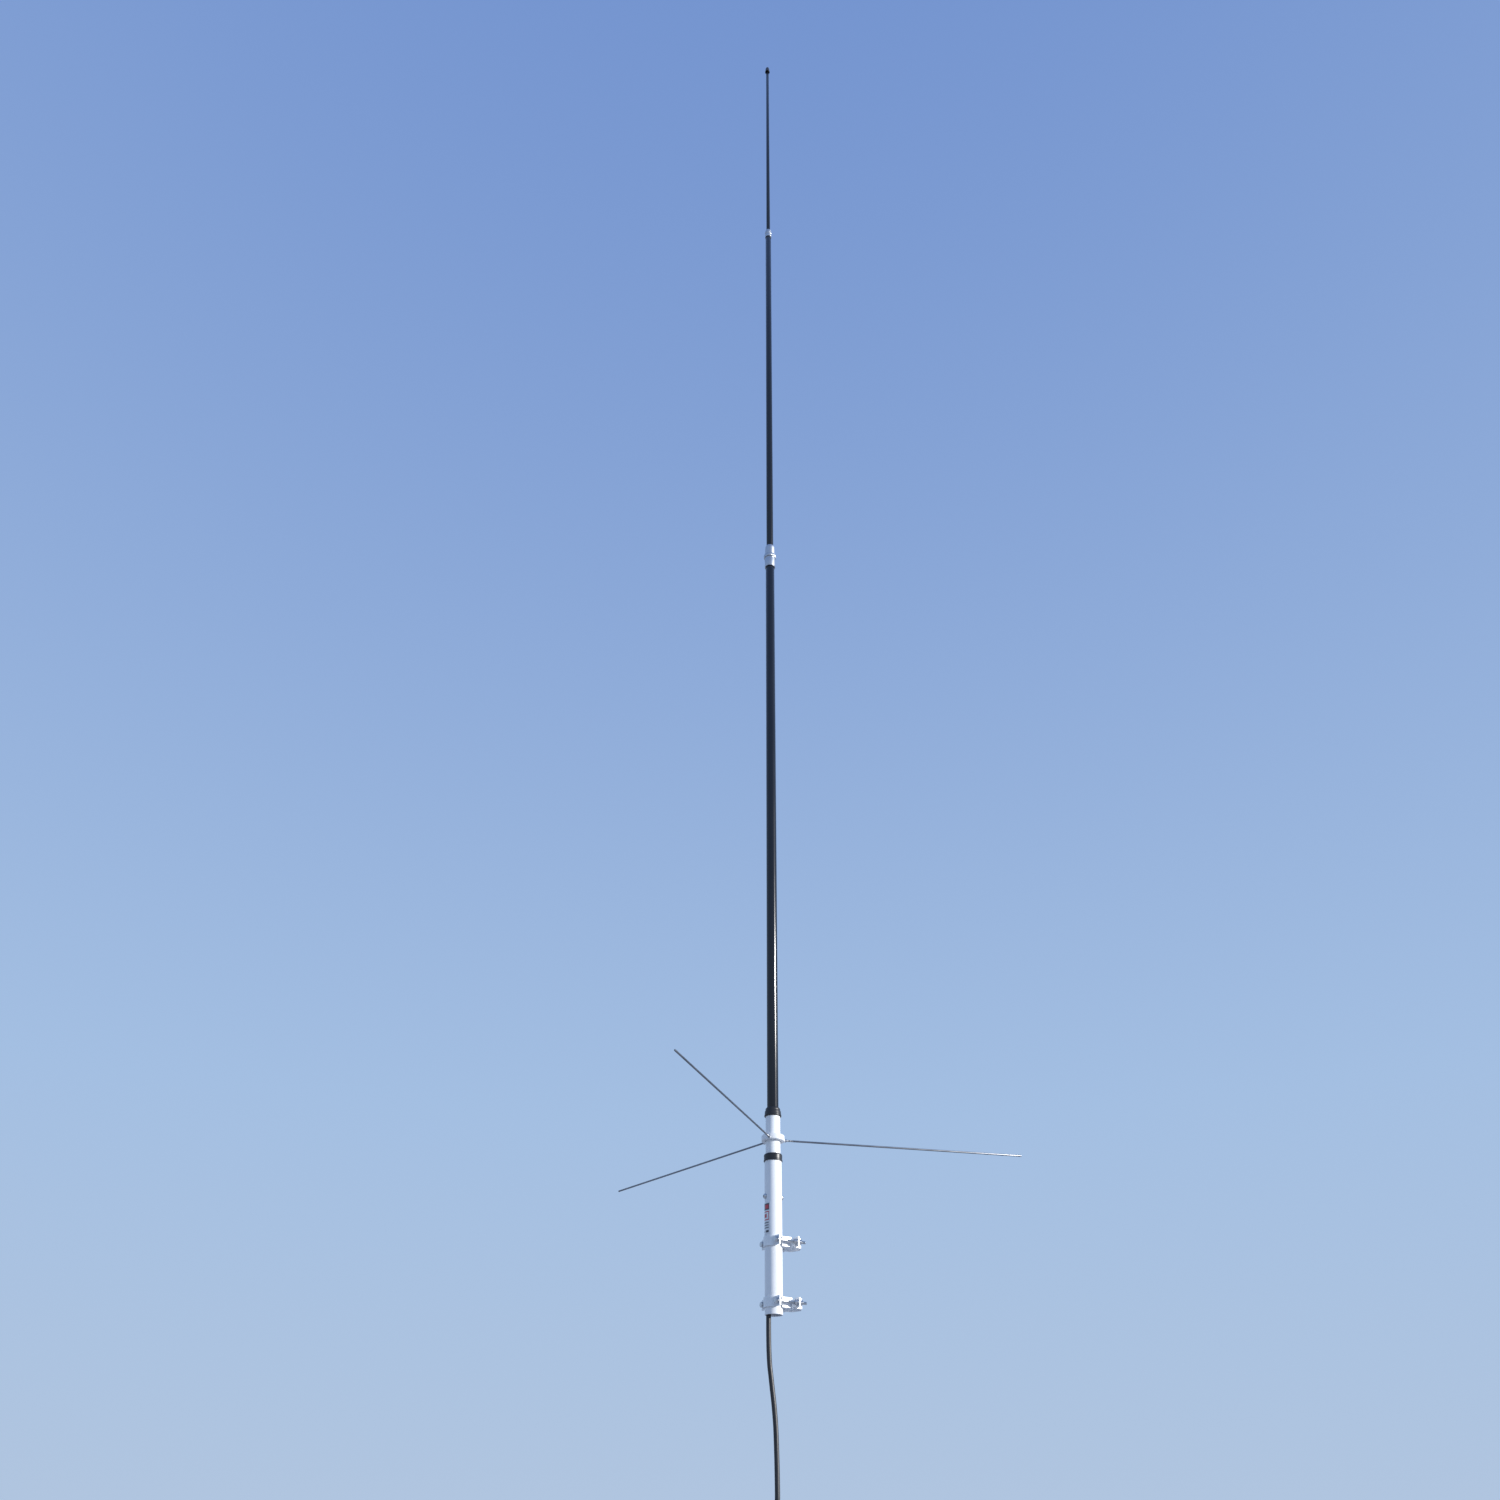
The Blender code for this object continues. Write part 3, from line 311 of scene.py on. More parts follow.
def make_finish(name, dark, light, metallic, smooth, rough, grain, patches, relief, coat):
    """A surface whose colour and gloss wander between two values, with fine grain in its relief."""
    material = bpy.data.materials.new(name)
    material.use_nodes = True
    tree = material.node_tree
    shader = tree.nodes["Principled BSDF"]
    shader.inputs["Metallic"].default_value = metallic
    shader.inputs["Coat Weight"].default_value = coat
    shader.inputs["Coat Roughness"].default_value = 0.08

    place = tree.nodes.new("ShaderNodeTexCoord")
    stretch = tree.nodes.new("ShaderNodeMapping")
    stretch.inputs["Scale"].default_value = grain
    tree.links.new(place.outputs["Object"], stretch.inputs["Vector"])
    fine = tree.nodes.new("ShaderNodeTexNoise")
    fine.inputs["Scale"].default_value = 1
    fine.inputs["Detail"].default_value = 4
    tree.links.new(stretch.outputs["Vector"], fine.inputs["Vector"])
    spread = tree.nodes.new("ShaderNodeMapping")
    spread.inputs["Scale"].default_value = patches
    tree.links.new(place.outputs["Object"], spread.inputs["Vector"])
    broad = tree.nodes.new("ShaderNodeTexNoise")
    broad.inputs["Scale"].default_value = 1
    broad.inputs["Detail"].default_value = 3
    tree.links.new(spread.outputs["Vector"], broad.inputs["Vector"])

    blend = tree.nodes.new("ShaderNodeMix")
    blend.data_type = "FLOAT"
    blend.inputs["Factor"].default_value = 0.45
    tree.links.new(broad.outputs["Fac"], blend.inputs["A"])
    tree.links.new(fine.outputs["Fac"], blend.inputs["B"])
    ramp = tree.nodes.new("ShaderNodeValToRGB")
    ramp.color_ramp.elements[0].position = 0.3
    ramp.color_ramp.elements[0].color = (*dark, 1)
    ramp.color_ramp.elements[1].position = 0.7
    ramp.color_ramp.elements[1].color = (*light, 1)
    tree.links.new(blend.outputs["Result"], ramp.inputs["Fac"])
    tree.links.new(ramp.outputs["Color"], shader.inputs["Base Color"])

    gloss = tree.nodes.new("ShaderNodeMapRange")
    gloss.inputs["From Min"].default_value = 0.3
    gloss.inputs["From Max"].default_value = 0.7
    gloss.inputs["To Min"].default_value = smooth
    gloss.inputs["To Max"].default_value = rough
    tree.links.new(blend.outputs["Result"], gloss.inputs["Value"])
    tree.links.new(gloss.outputs["Result"], shader.inputs["Roughness"])

    bump = tree.nodes.new("ShaderNodeBump")
    bump.inputs["Distance"].default_value = relief
    tree.links.new(fine.outputs["Fac"], bump.inputs["Height"])
    tree.links.new(bump.outputs["Normal"], shader.inputs["Normal"])
    return material


def make_camera():
    """A low camera that looks up the antenna, with a short lens."""
    away = CAMERA_AWAY.normalized()
    right = Vector((away.y, -away.x, 0))
    up = Vector((0, 0, 1))
    pitch, yaw, roll = (math.radians(angle) for angle in (CAMERA_PITCH, CAMERA_YAW, CAMERA_ROLL))
    forward = math.cos(pitch) * math.sin(yaw) * right + math.cos(pitch) * math.cos(yaw) * away
    forward += math.sin(pitch) * up
    level = math.cos(yaw) * right - math.sin(yaw) * away
    upright = level.cross(forward)
    side = level * math.cos(roll) - upright * math.sin(roll)
    top = level * math.sin(roll) + upright * math.cos(roll)
    data = bpy.data.cameras.new("camera")
    data.lens = CAMERA_LENS
    data.sensor_width = 36
    data.clip_end = 100
    camera = bpy.data.objects.new("camera", data)
    place = Vector((ANTENNA_X, 0, ROD_Z)) - away * CAMERA_BACK - up * CAMERA_BELOW
    camera.matrix_world = Matrix.Translation(place) @ Matrix((side, top, -forward)).transposed().to_4x4()
    bpy.context.scene.collection.objects.link(camera)
    bpy.context.scene.camera = camera
    return away, right


def make_light(away, right, plaster):
    """A key light, a pale sky, and a pale floor under the hanging coil."""
    turn, rise = math.radians(KEY_TOWARDS_RIGHT), math.radians(KEY_ELEVATION)
    level = right * math.sin(turn) - away * math.cos(turn)
    towards = level * math.cos(rise) + Vector((0, 0, math.sin(rise)))
    data = bpy.data.lights.new("key", "SUN")
    data.energy = KEY_STRENGTH
    data.angle = math.radians(KEY_SPREAD)
    data.color = KEY_COLOUR
    key = bpy.data.objects.new("key", data)
    key.rotation_euler = towards.to_track_quat("Z", "Y").to_euler()
    bpy.context.scene.collection.objects.link(key)

    world = bpy.data.worlds.new("sky")
    world.use_nodes = True
    tree = world.node_tree
    place = tree.nodes.new("ShaderNodeTexCoord")
    height = tree.nodes.new("ShaderNodeSeparateXYZ")
    tree.links.new(place.outputs["Generated"], height.inputs["Vector"])
    share = tree.nodes.new("ShaderNodeMapRange")
    share.inputs["From Min"].default_value = -1
    share.inputs["From Max"].default_value = 1
    tree.links.new(height.outputs["Z"], share.inputs["Value"])
    ramp = tree.nodes.new("ShaderNodeValToRGB")
    while len(ramp.color_ramp.elements) < len(SKY):
        ramp.color_ramp.elements.new(1)
    for stop, (level, colour) in zip(ramp.color_ramp.elements, SKY):
        stop.position = (level + 1) / 2
        stop.color = (*colour, 1)
    tree.links.new(share.outputs["Result"], ramp.inputs["Fac"])
    tree.links.new(ramp.outputs["Color"], tree.nodes["Background"].inputs["Color"])
    bpy.context.scene.world = world
    bpy.context.scene.view_settings.view_transform = "Standard"

    bpy.ops.mesh.primitive_plane_add(size=FLOOR_SIZE, location=(0, 0, FLOOR_Z))
    floor = bpy.context.object
    floor.name = "floor"
    floor.data.materials.append(plaster)


def lathe(profile, sides=96, ring=False):
    """A solid turned about Z. A profile point's radius may be a function of the angle."""
    shape = bmesh.new()
    rows = []
    for index in range(sides):
        angle = math.tau * index / sides
        row = []
        for radius, height in profile:
            reach = radius(angle) if callable(radius) else radius
            row.append(shape.verts.new((reach * math.cos(angle), reach * math.sin(angle), height)))
        rows.append(row)
    spans = len(profile) if ring else len(profile) - 1
    for index in range(sides):
        this, following = rows[index], rows[(index + 1) % sides]
        for point in range(spans):
            after = (point + 1) % len(profile)
            shape.faces.new((this[point], following[point], following[after], this[after]))
    return shape


def prism(outline, low, high):
    """A plate with this outline in XY."""
    shape = bmesh.new()
    face = shape.faces.new([shape.verts.new((x, y, low)) for x, y in outline])
    raised = bmesh.ops.extrude_face_region(shape, geom=[face])
    moved = [item for item in raised["geom"] if isinstance(item, bmesh.types.BMVert)]
    bmesh.ops.translate(shape, verts=moved, vec=(0, 0, high - low))
    return shape


def rounded(points, size, closed=False, steps=3):
    """The outline with each corner cut back by up to this size along a curve."""
    result = []
    for index, point in enumerate(points):
        if not closed and index in (0, len(points) - 1):
            result.append(tuple(point))
            continue
        corner = Vector(point)
        back = Vector(points[index - 1]) - corner
        ahead = Vector(points[(index + 1) % len(points)]) - corner
        reach = min(size, 0.45 * back.length, 0.45 * ahead.length)
        start, end = corner + back.normalized() * reach, corner + ahead.normalized() * reach
        for step in range(steps + 1):
            t = step / steps
            result.append(tuple((1 - t) ** 2 * start + 2 * t * (1 - t) * corner + t**2 * end))
    return result


def arc(radius, start, end, steps):
    """Points on a circle about the origin, from start to end in degrees."""
    angles = [math.radians(start + (end - start) * step / steps) for step in range(steps + 1)]
    return [(radius * math.cos(angle), radius * math.sin(angle)) for angle in angles]


def hexagon(apothem, limit=math.inf):
    """The radius of a hexagon at an angle, cut off where it passes a circle."""
    sixth = math.radians(60)
    return lambda angle: min(apothem / math.cos((angle + sixth / 2) % sixth - sixth / 2), limit)


def wave(turns):
    """A triangle wave, 1 at whole turns and 0 between them."""
    return abs(2 * (turns % 1) - 1)


def fluted(radius, depth, flutes):
    """A knurled edge: the radius at an angle."""
    return lambda angle: radius - depth * wave(flutes * angle / math.tau)


def thread_radius(radius, depth, turns):
    """A thread's edge after this many turns of it: the radius at an angle."""
    return lambda angle: radius - depth * wave(turns - angle / math.tau)


def thread_rows(radius, depth, pitch, start, end):
    """Profile points of a screw thread from start to end, fading in and out over one turn."""
    steps = round(4 * abs(end - start) / pitch)
    rows = []
    for step in range(steps + 1):
        height = start + (end - start) * step / steps
        fade = min(1, abs(height - start) / pitch, abs(end - height) / pitch)
        rows.append((thread_radius(radius, depth * fade, height / pitch), height))
    return rows


def hex_rows(apothem, start, end, chamfer):
    """Profile points of a hexagonal edge whose corners are chamfered at its far end."""
    corner = apothem * HEX_CORNER
    last_corner = 0.96 * apothem
    turn_in = start + (end - start) * (1 - chamfer / abs(end - start))
    rows = [(hexagon(apothem), start), (hexagon(apothem), turn_in)]
    steps = 4
    for step in range(1, steps + 1):
        share = step / steps
        cut = hexagon(apothem, corner + (last_corner - corner) * share)
        rows.append((cut, turn_in + (end - turn_in) * share))
    return rows


class Workshop:
    """Places finished pieces: it knows the finishes and hands each piece to its body."""

    def __init__(self, materials):
        self.materials = materials

    def mesh(self, name, shape, place=None):
        """An object from a bmesh, with its faces turned out."""
        bmesh.ops.remove_doubles(shape, verts=shape.verts, dist=WELD)
        bmesh.ops.recalc_face_normals(shape, faces=shape.faces)
        mesh = bpy.data.meshes.new(name)
        shape.to_mesh(mesh)
        shape.free()
        obj = bpy.data.objects.new(name, mesh)
        obj.matrix_world = place or Matrix()
        bpy.context.scene.collection.objects.link(obj)
        return obj

    def finish(self, obj, finish, body, *nodes):
        """Smooth shading, a finish, the body the piece rides on and the nodes it stands for."""
        obj.data.shade_smooth()
        obj.data.set_sharp_from_angle(angle=SHARP_ANGLE)
        if not obj.data.materials:
            obj.data.materials.append(self.materials[finish])
        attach(obj, body)
        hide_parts(*nodes)
        return obj

    def add(self, node, shape, finish, place=None, body="root"):
        """A finished piece that stands for one node."""
        obj = self.mesh(f"{node}_piece", shape, place)
        return self.finish(obj, finish, body, node)

    def combine(self, obj, tools, operation):
        """Joins or cuts the piece with these shapes, in its own axes."""
        for index, (shape, place) in enumerate(tools):
            tool = self.mesh(f"tool_{index}", shape, obj.matrix_world @ place)
            modifier = obj.modifiers.new("shape", "BOOLEAN")
            modifier.operation = operation
            modifier.object = tool
            bpy.context.view_layer.update()
            graph = bpy.context.evaluated_depsgraph_get()
            mesh = bpy.data.meshes.new_from_object(obj.evaluated_get(graph))
            obj.modifiers.clear()
            obj.data = mesh
            bpy.data.objects.remove(tool)

    def soften(self, obj, width):
        """Rounds the piece's sharp edges."""
        modifier = obj.modifiers.new("soft_edges", "BEVEL")
        modifier.width = width
        modifier.segments = 2
        modifier.limit_method = "ANGLE"
        modifier.angle_limit = SHARP_ANGLE


def at(x=0, y=0, z=0):
    return Matrix.Translation((x, y, z))


def sideways(azimuth):
    """Turns local Z to point outwards at this azimuth in degrees."""
    return Matrix.Rotation(math.radians(azimuth), 4, "Z") @ Matrix.Rotation(math.radians(90), 4, "Y")


def heights(node):
    """The node's lowest and highest points in the frame."""
    low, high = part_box(node)
    return low.z, high.z


def tube(node, foot, top, wall):
    """A tube's section, from the node's foot to its top, with an outer radius at each."""
    low, high = heights(node)
    return [(foot - wall, low), (foot, low), (top, high), (top - wall, high)]


def make_base(shop):
    """The pipe, its seal ring, the sleeve and the collar that holds the lowest radome."""
    axis = at(ANTENNA_X)
    pipe = rounded(tube("base_pipe", PIPE_RADIUS, PIPE_RADIUS, PIPE_WALL), 0.5 * MM, True)
    shop.add("base_pipe", lathe(pipe, ring=True), "white_paint", axis)
    sleeve = rounded(tube("upper_sleeve", SLEEVE_RADIUS, SLEEVE_RADIUS, SLEEVE_WALL), 0.4 * MM, True)
    shop.add("upper_sleeve", lathe(sleeve, ring=True), "white_paint", axis)

    low, high = heights("pipe_seal_ring")
    pipe_end = heights("base_pipe")[1] + GAP
    seal = [
        (PIPE_RADIUS + GAP, low),
        (SEAL_RADIUS, low),
        (SEAL_RADIUS, low + 3 * MM),
        (SEAL_RADIUS - 0.7 * MM, low + 4.2 * MM),
        (SEAL_RADIUS - 0.4 * MM, high - 2.4 * MM),
        (SEAL_RADIUS - 2 * MM, high),
        (SLEEVE_RADIUS + GAP, high),
        (SLEEVE_RADIUS + GAP, pipe_end),
        (PIPE_RADIUS + GAP, pipe_end),
    ]
    shop.add("pipe_seal_ring", lathe(rounded(seal, 0.8 * MM, True), ring=True), "black_plastic", axis)

    low, high = heights("fibre_collar")
    rim = heights("upper_sleeve")[1] + GAP
    bore = SLEEVE_RADIUS - SLEEVE_WALL
    collar = [
        (LOWER_RADIUS + GAP, low),
        (bore - GAP, low),
        (bore - GAP, rim),
        (19.2 * MM, rim),
        (19.6 * MM, rim + 2 * MM),
        (18.9 * MM, rim + 4.6 * MM),
        (18.3 * MM, rim + 11.6 * MM),
        (17 * MM, rim + 12.4 * MM),
        (16.9 * MM, high - 3 * MM),
        (15 * MM, high),
        (LOWER_RADIUS + GAP, high),
    ]
    shop.add("fibre_collar", lathe(rounded(collar, 1.1 * MM, True), ring=True), "black_plastic", axis)
    make_pipe_screws(shop)
    make_label(shop)


def make_pipe_screws(shop):
    """Dome-head screws with a cross recess."""
    head_radius, head_height, shank, depth = 5.6 * MM, 4.8 * MM, 2.5 * MM, 9 * MM
    seat = PIPE_RADIUS + GAP
    dome = [(x, seat + y * head_height / head_radius) for x, y in arc(head_radius, 0, 90, 9)]
    profile = [(0, depth), (shank, depth), (shank, seat), *dome]
    arm, reach, recess_depth = 0.6 * MM, 2.7 * MM, 2.4 * MM
    cross = [(arm, arm), (arm, reach), (-arm, reach), (-arm, arm), (-reach, arm), (-reach, -arm)]
    cross += [(-x, -y) for x, y in cross]
    for node, azimuth in SCREW_AZIMUTHS.items():
        place = at(ANTENNA_X, 0, SCREW_Z) @ sideways(azimuth)
        screw = shop.mesh(f"{node}_piece", lathe(profile, 48), place)
        head_top = seat + head_height
        recess = prism(cross, head_top - recess_depth, head_top + 1 * MM)
        shop.combine(screw, [(recess, Matrix())], "DIFFERENCE")
        shop.finish(screw, "stainless_steel", "root", node)


def make_label(shop):
    """A foil label round the pipe with plain printed blocks."""
    low, high = heights("base_label")
    inner, outer = PIPE_RADIUS + 0.1 * MM, PIPE_RADIUS + 0.4 * MM
    inks = ("printed_foil", "label_dark", "label_red", "label_grey")
    foil, dark, red, grey = range(len(inks))
    # Blocks: ink, first and last share of the width, first and last share of the height.
    blocks = (
        (dark, 0.06, 0.94, 0.76, 0.97),
        (red, 0.12, 0.5, 0.8, 0.93),
        (red, 0.08, 0.92, 0.44, 0.72),
        (foil, 0.13, 0.87, 0.47, 0.69),
        (red, 0.3, 0.7, 0.52, 0.64),
        (grey, 0.1, 0.8, 0.34, 0.38),
        (grey, 0.1, 0.9, 0.26, 0.3),
        (grey, 0.1, 0.65, 0.18, 0.22),
        (dark, 0.1, 0.4, 0.05, 0.12),
        (grey, 0.5, 0.9, 0.07, 0.1),
    )
    round_steps = 24
    widths = {step / round_steps for step in range(round_steps + 1)}
    widths = sorted(widths | {edge for block in blocks for edge in block[1:3]})
    levels = sorted({0, 1, *(edge for block in blocks for edge in block[3:5])})

    def ink_at(across, up):
        """The last block that covers a place on the label, or plain foil."""
        ink = foil
        for colour, left, right, bottom, top in blocks:
            if left < across < right and bottom < up < top:
                ink = colour
        return ink

    shape = bmesh.new()
    sheets = []
    for radius in (inner, outer):
        rows = []
        for level in levels:
            z = low + (high - low) * level
            row = []
            for width in widths:
                angle = math.radians(LABEL_TO + (LABEL_FROM - LABEL_TO) * width)
                row.append(shape.verts.new((radius * math.cos(angle), radius * math.sin(angle), z)))
            rows.append(row)
        sheets.append(rows)
    inside, outside = sheets
    for rows in sheets:
        for j in range(len(levels) - 1):
            up = (levels[j] + levels[j + 1]) / 2
            for i in range(len(widths) - 1):
                across = (widths[i] + widths[i + 1]) / 2
                face = shape.faces.new((rows[j][i], rows[j][i + 1], rows[j + 1][i + 1], rows[j + 1][i]))
                if rows is outside:
                    face.material_index = ink_at(across, up)
    for j in range(len(levels) - 1):
        for i in (0, -1):
            shape.faces.new((inside[j][i], inside[j + 1][i], outside[j + 1][i], outside[j][i]))
    for i in range(len(widths) - 1):
        for j in (0, -1):
            shape.faces.new((inside[j][i], inside[j][i + 1], outside[j][i + 1], outside[j][i]))
    label = shop.mesh("base_label_piece", shape, at(ANTENNA_X))
    for ink in inks:
        label.data.materials.append(shop.materials[ink])
    shop.finish(label, "printed_foil", "root", "base_label")


def make_ground_plane(shop):
    """The hub, and three rods whose threaded ends screw into it, each with its lock nut."""
    hub_bottom, hub_top = heights("radial_hub")
    low, high = hub_bottom - ROD_Z, hub_top - ROD_Z
    edge = SLEEVE_RADIUS + GAP
    section = [(edge, low), (HUB_RADIUS, low), (HUB_RADIUS, high), (edge, high)]
    ring = lathe(rounded(section, HUB_EDGE, True, 5), ring=True)
    hub = shop.mesh("radial_hub_piece", ring, at(ANTENNA_X, 0, ROD_Z))
    root, tip = HUB_RADIUS - 5 * MM, BOSS_REACH
    boss = rounded([(0, root), (BOSS_RADIUS, root), (BOSS_RADIUS, tip), (0, tip)], 0.5 * MM)
    bore = ROD_RADIUS + 0.3 * MM
    flare = bore + 0.6 * MM
    inside, outside = edge - 2 * MM, tip + 2 * MM
    mouth = [(0, inside), (bore, inside), (bore, tip - 0.6 * MM)]
    mouth += [(flare, tip + 0.3 * MM), (flare, outside), (0, outside)]
    for profile, sides, operation in ((boss, 48, "UNION"), (mouth, 36, "DIFFERENCE")):
        tools = [(lathe(profile, sides), sideways(azimuth)) for azimuth in ROD_AZIMUTHS]
        shop.combine(hub, tools, operation)
    shop.finish(hub, "white_paint", "root", "radial_hub")

    chamfer = 0.5 * MM
    thread_start = ROD_ROOT + chamfer
    thread = thread_rows(ROD_RADIUS, ROD_THREAD_DEPTH, ROD_PITCH, thread_start, ROD_THREAD_END)
    end = [(0, ROD_ROOT), (ROD_RADIUS - chamfer, ROD_ROOT)]
    tip = [(ROD_RADIUS, ROD_REACH - 1 * MM), (ROD_RADIUS * 0.8, ROD_REACH - 0.3 * MM), (0, ROD_REACH)]
    rod = [*end, *thread, (ROD_RADIUS, ROD_THREAD_END + 1 * MM), *tip]
    nut_bore = ROD_RADIUS + 0.15 * MM
    height, lead_in = ROD_NUT_HEIGHT, 0.3 * MM
    chamfered = hex_rows(ROD_NUT_ACROSS, height / 2, height, chamfer)
    mirror = [(radius, height - z) for radius, z in reversed(chamfered)]
    nut = [(nut_bore, lead_in), (nut_bore + lead_in, 0), *mirror, *chamfered]
    nut += [(nut_bore + lead_in, height), (nut_bore, height - lead_in)]
    for number, azimuth in enumerate(ROD_AZIMUTHS, start=1):
        body = f"radial_{number}"
        place = at(ANTENNA_X, 0, ROD_Z) @ sideways(azimuth)
        shop.add(body, lathe(rod, 24), "rod_steel", place, body)
        seat = place @ at(z=BOSS_REACH + GAP)
        shop.add(f"radial_nut_{number}", lathe(nut, 72, True), "stainless_steel", seat, body)


def make_section_joint(shop, side, joint):
    """Two turned ferrules, and the knurled union nut that pulls them together."""
    axis = at(ANTENNA_X)
    below, above = joint["below"] + GAP, joint["above"] + GAP
    bottom = heights(f"{side}_joint_ferrule")[0]
    nut_bottom, nut_top = heights(f"{side}_union_nut")
    cone_top = heights(f"{side}_joint_cone")[1]
    ferrule_top = nut_bottom - GAP
    lip_bottom = nut_top - joint["lip"]
    nose_top = lip_bottom - joint["flange"]
    nose = joint["nut_bore"] - GAP
    outer = joint["ferrule_radius"]
    groove = 0.5 * MM
    ferrule = [
        (below, bottom),
        (outer, bottom),
        (outer, bottom + 3 * MM),
        (outer - groove, bottom + 3.5 * MM),
        (outer - groove, bottom + 4.5 * MM),
        (outer, bottom + 5 * MM),
        (outer, ferrule_top - 4 * MM),
        (outer - groove, ferrule_top - 3.5 * MM),
        (outer - groove, ferrule_top - 2.5 * MM),
        (outer, ferrule_top - 2 * MM),
        (outer, ferrule_top),
        (nose, ferrule_top),
        (nose, nose_top),
        (joint["nose_bore"], nose_top),
        (joint["nose_bore"], ferrule_top - joint["web"]),
        (below, ferrule_top - joint["web"]),
    ]
    finish = "plated_brass"
    shop.add(f"{side}_joint_ferrule", lathe(rounded(ferrule, 0.6 * MM, True), ring=True), finish, axis)

    radius, flutes = joint["nut_radius"], joint["flutes"]
    edge = 0.7 * MM
    plain = radius - edge
    knurl = fluted(radius, 0.55 * MM, flutes)
    nut = [
        (joint["nut_bore"], nut_bottom),
        (radius - 2 * edge, nut_bottom),
        (plain, nut_bottom + edge),
        (plain, nut_bottom + 1.2 * MM),
        (knurl, nut_bottom + 1.7 * MM),
        (knurl, nut_top - 2.3 * MM),
        (plain, nut_top - 1.8 * MM),
        (plain, nut_top - edge),
        (radius - 2 * edge, nut_top),
        (joint["lip_bore"], nut_top),
        (joint["lip_bore"], lip_bottom),
        (joint["nut_bore"], lip_bottom),
    ]
    shop.add(f"{side}_union_nut", lathe(nut, 4 * flutes, True), finish, axis, f"{side}_union_nut")

    foot = nut_top + GAP
    shoulder, top = joint["shoulder_radius"], joint["cone_top_radius"]
    shoulder_top = foot + joint["shoulder_height"]
    bulge = 0.5 * MM  # how far the cone swells halfway up
    inner_nose = nose - 0.1 * MM
    cone = [
        (above, nose_top + GAP),
        (inner_nose, nose_top + GAP),
        (inner_nose, lip_bottom - GAP),
        (joint["neck"], lip_bottom - GAP),
        (joint["neck"], foot),
        (shoulder, foot),
        (shoulder, shoulder_top),
        ((shoulder + top) / 2 + bulge, (shoulder_top + cone_top) / 2),
        (top, cone_top),
        (above, cone_top),
    ]
    shop.add(f"{side}_joint_cone", lathe(rounded(cone, 0.7 * MM, True), ring=True), finish, axis)


def make_radomes(shop):
    """The three glossy tubes and the cap on the tip."""
    axis = at(ANTENNA_X)
    tubes = {
        "lower_radome": (LOWER_RADIUS, LOWER_RADIUS, 2 * MM),
        "middle_radome": (MIDDLE_RADIUS, MIDDLE_RADIUS, 1.8 * MM),
        "upper_radome": (UPPER_RADIUS, TIP_RADIUS, 1.5 * MM),
    }
    for node, (foot, top, wall) in tubes.items():
        profile = rounded(tube(node, foot, top, wall), 0.3 * MM, True, 2)
        shop.add(node, lathe(profile, 72, True), "black_radome", axis)
    low, high = heights("tip_cap")
    bore = TIP_RADIUS + 0.35 * MM
    cap = [
        (0, low + 24 * MM),
        (bore, low + 24 * MM),
        (bore, low),
        (CAP_RADIUS, low),
        (CAP_RADIUS, low + 4 * MM),
        (CAP_RADIUS - 1.2 * MM, low + 8 * MM),
        (CAP_RADIUS - 2 * MM, low + 26 * MM),
        (CAP_RADIUS - 4.4 * MM, low + 36 * MM),
        (CAP_RADIUS - 7.4 * MM, low + 41 * MM),
        (0, high),
    ]
    shop.add("tip_cap", lathe(rounded(cap, 2 * MM, steps=5), 64), "black_plastic", axis)


def vee_x(y, apex, direction):
    """Where a V with this apex is at a height y off its middle plane."""
    return apex - direction * abs(y) / math.tan(VEE_HALF_ANGLE)


def toothed(start, end, inwards):
    """Small teeth cut into a straight edge, from start to end."""
    start, end, inwards = Vector(start), Vector(end), Vector(inwards).normalized()
    count = round((end - start).length / TOOTH)
    points = []
    for step in range(count):
        points.append(start.lerp(end, step / count))
        points.append(start.lerp(end, (step + 0.5) / count) + inwards * 0.45 * TOOTH)
    points.append(end)
    return [tuple(point) for point in points]


def band_outline():
    """A strap half round the pipe, with an ear each side, about the pipe's axis."""
    inner = PIPE_RADIUS + GAP
    outer = inner + BAND_THICKNESS
    ear_out = BAND_EAR_X - ANTENNA_X
    ear_in = ear_out + PLATE
    start = math.degrees(math.acos(ear_in / inner))
    stop = math.degrees(math.acos(ear_out / outer))
    half = [(ear_in, EAR_Y), *arc(inner, start, 180, 24)]
    back = [*arc(outer, 180, stop, 24), (ear_out, EAR_Y)]
    lower_half = [(x, -y) for x, y in reversed(half[:-1])]
    lower_back = [(x, -y) for x, y in reversed(back[1:])]
    return half + lower_half + lower_back + back


def saddle_outline():
    """The block between pipe and mast, with a toothed V."""
    hollow = PIPE_RADIUS + GAP
    apex = -(MAST_RADIUS + GAP) / math.sin(VEE_HALF_ANGLE)
    reach = math.degrees(math.acos((SADDLE_SHOULDER_X - ANTENNA_X) / hollow))
    pipe_side = [(x + ANTENNA_X, y) for x, y in arc(hollow, -reach, reach, 24)]
    tip = vee_x(SADDLE_Y, apex, -1)
    flank = toothed((tip - 1.2 * MM, SADDLE_Y), (apex, 0), (-1, 0))
    mirrored = [(x, -y) for x, y in reversed(flank[:-1])]
    return [*pipe_side, (SADDLE_SHOULDER_X, SADDLE_Y), *flank, *mirrored, (SADDLE_SHOULDER_X, -SADDLE_Y)]


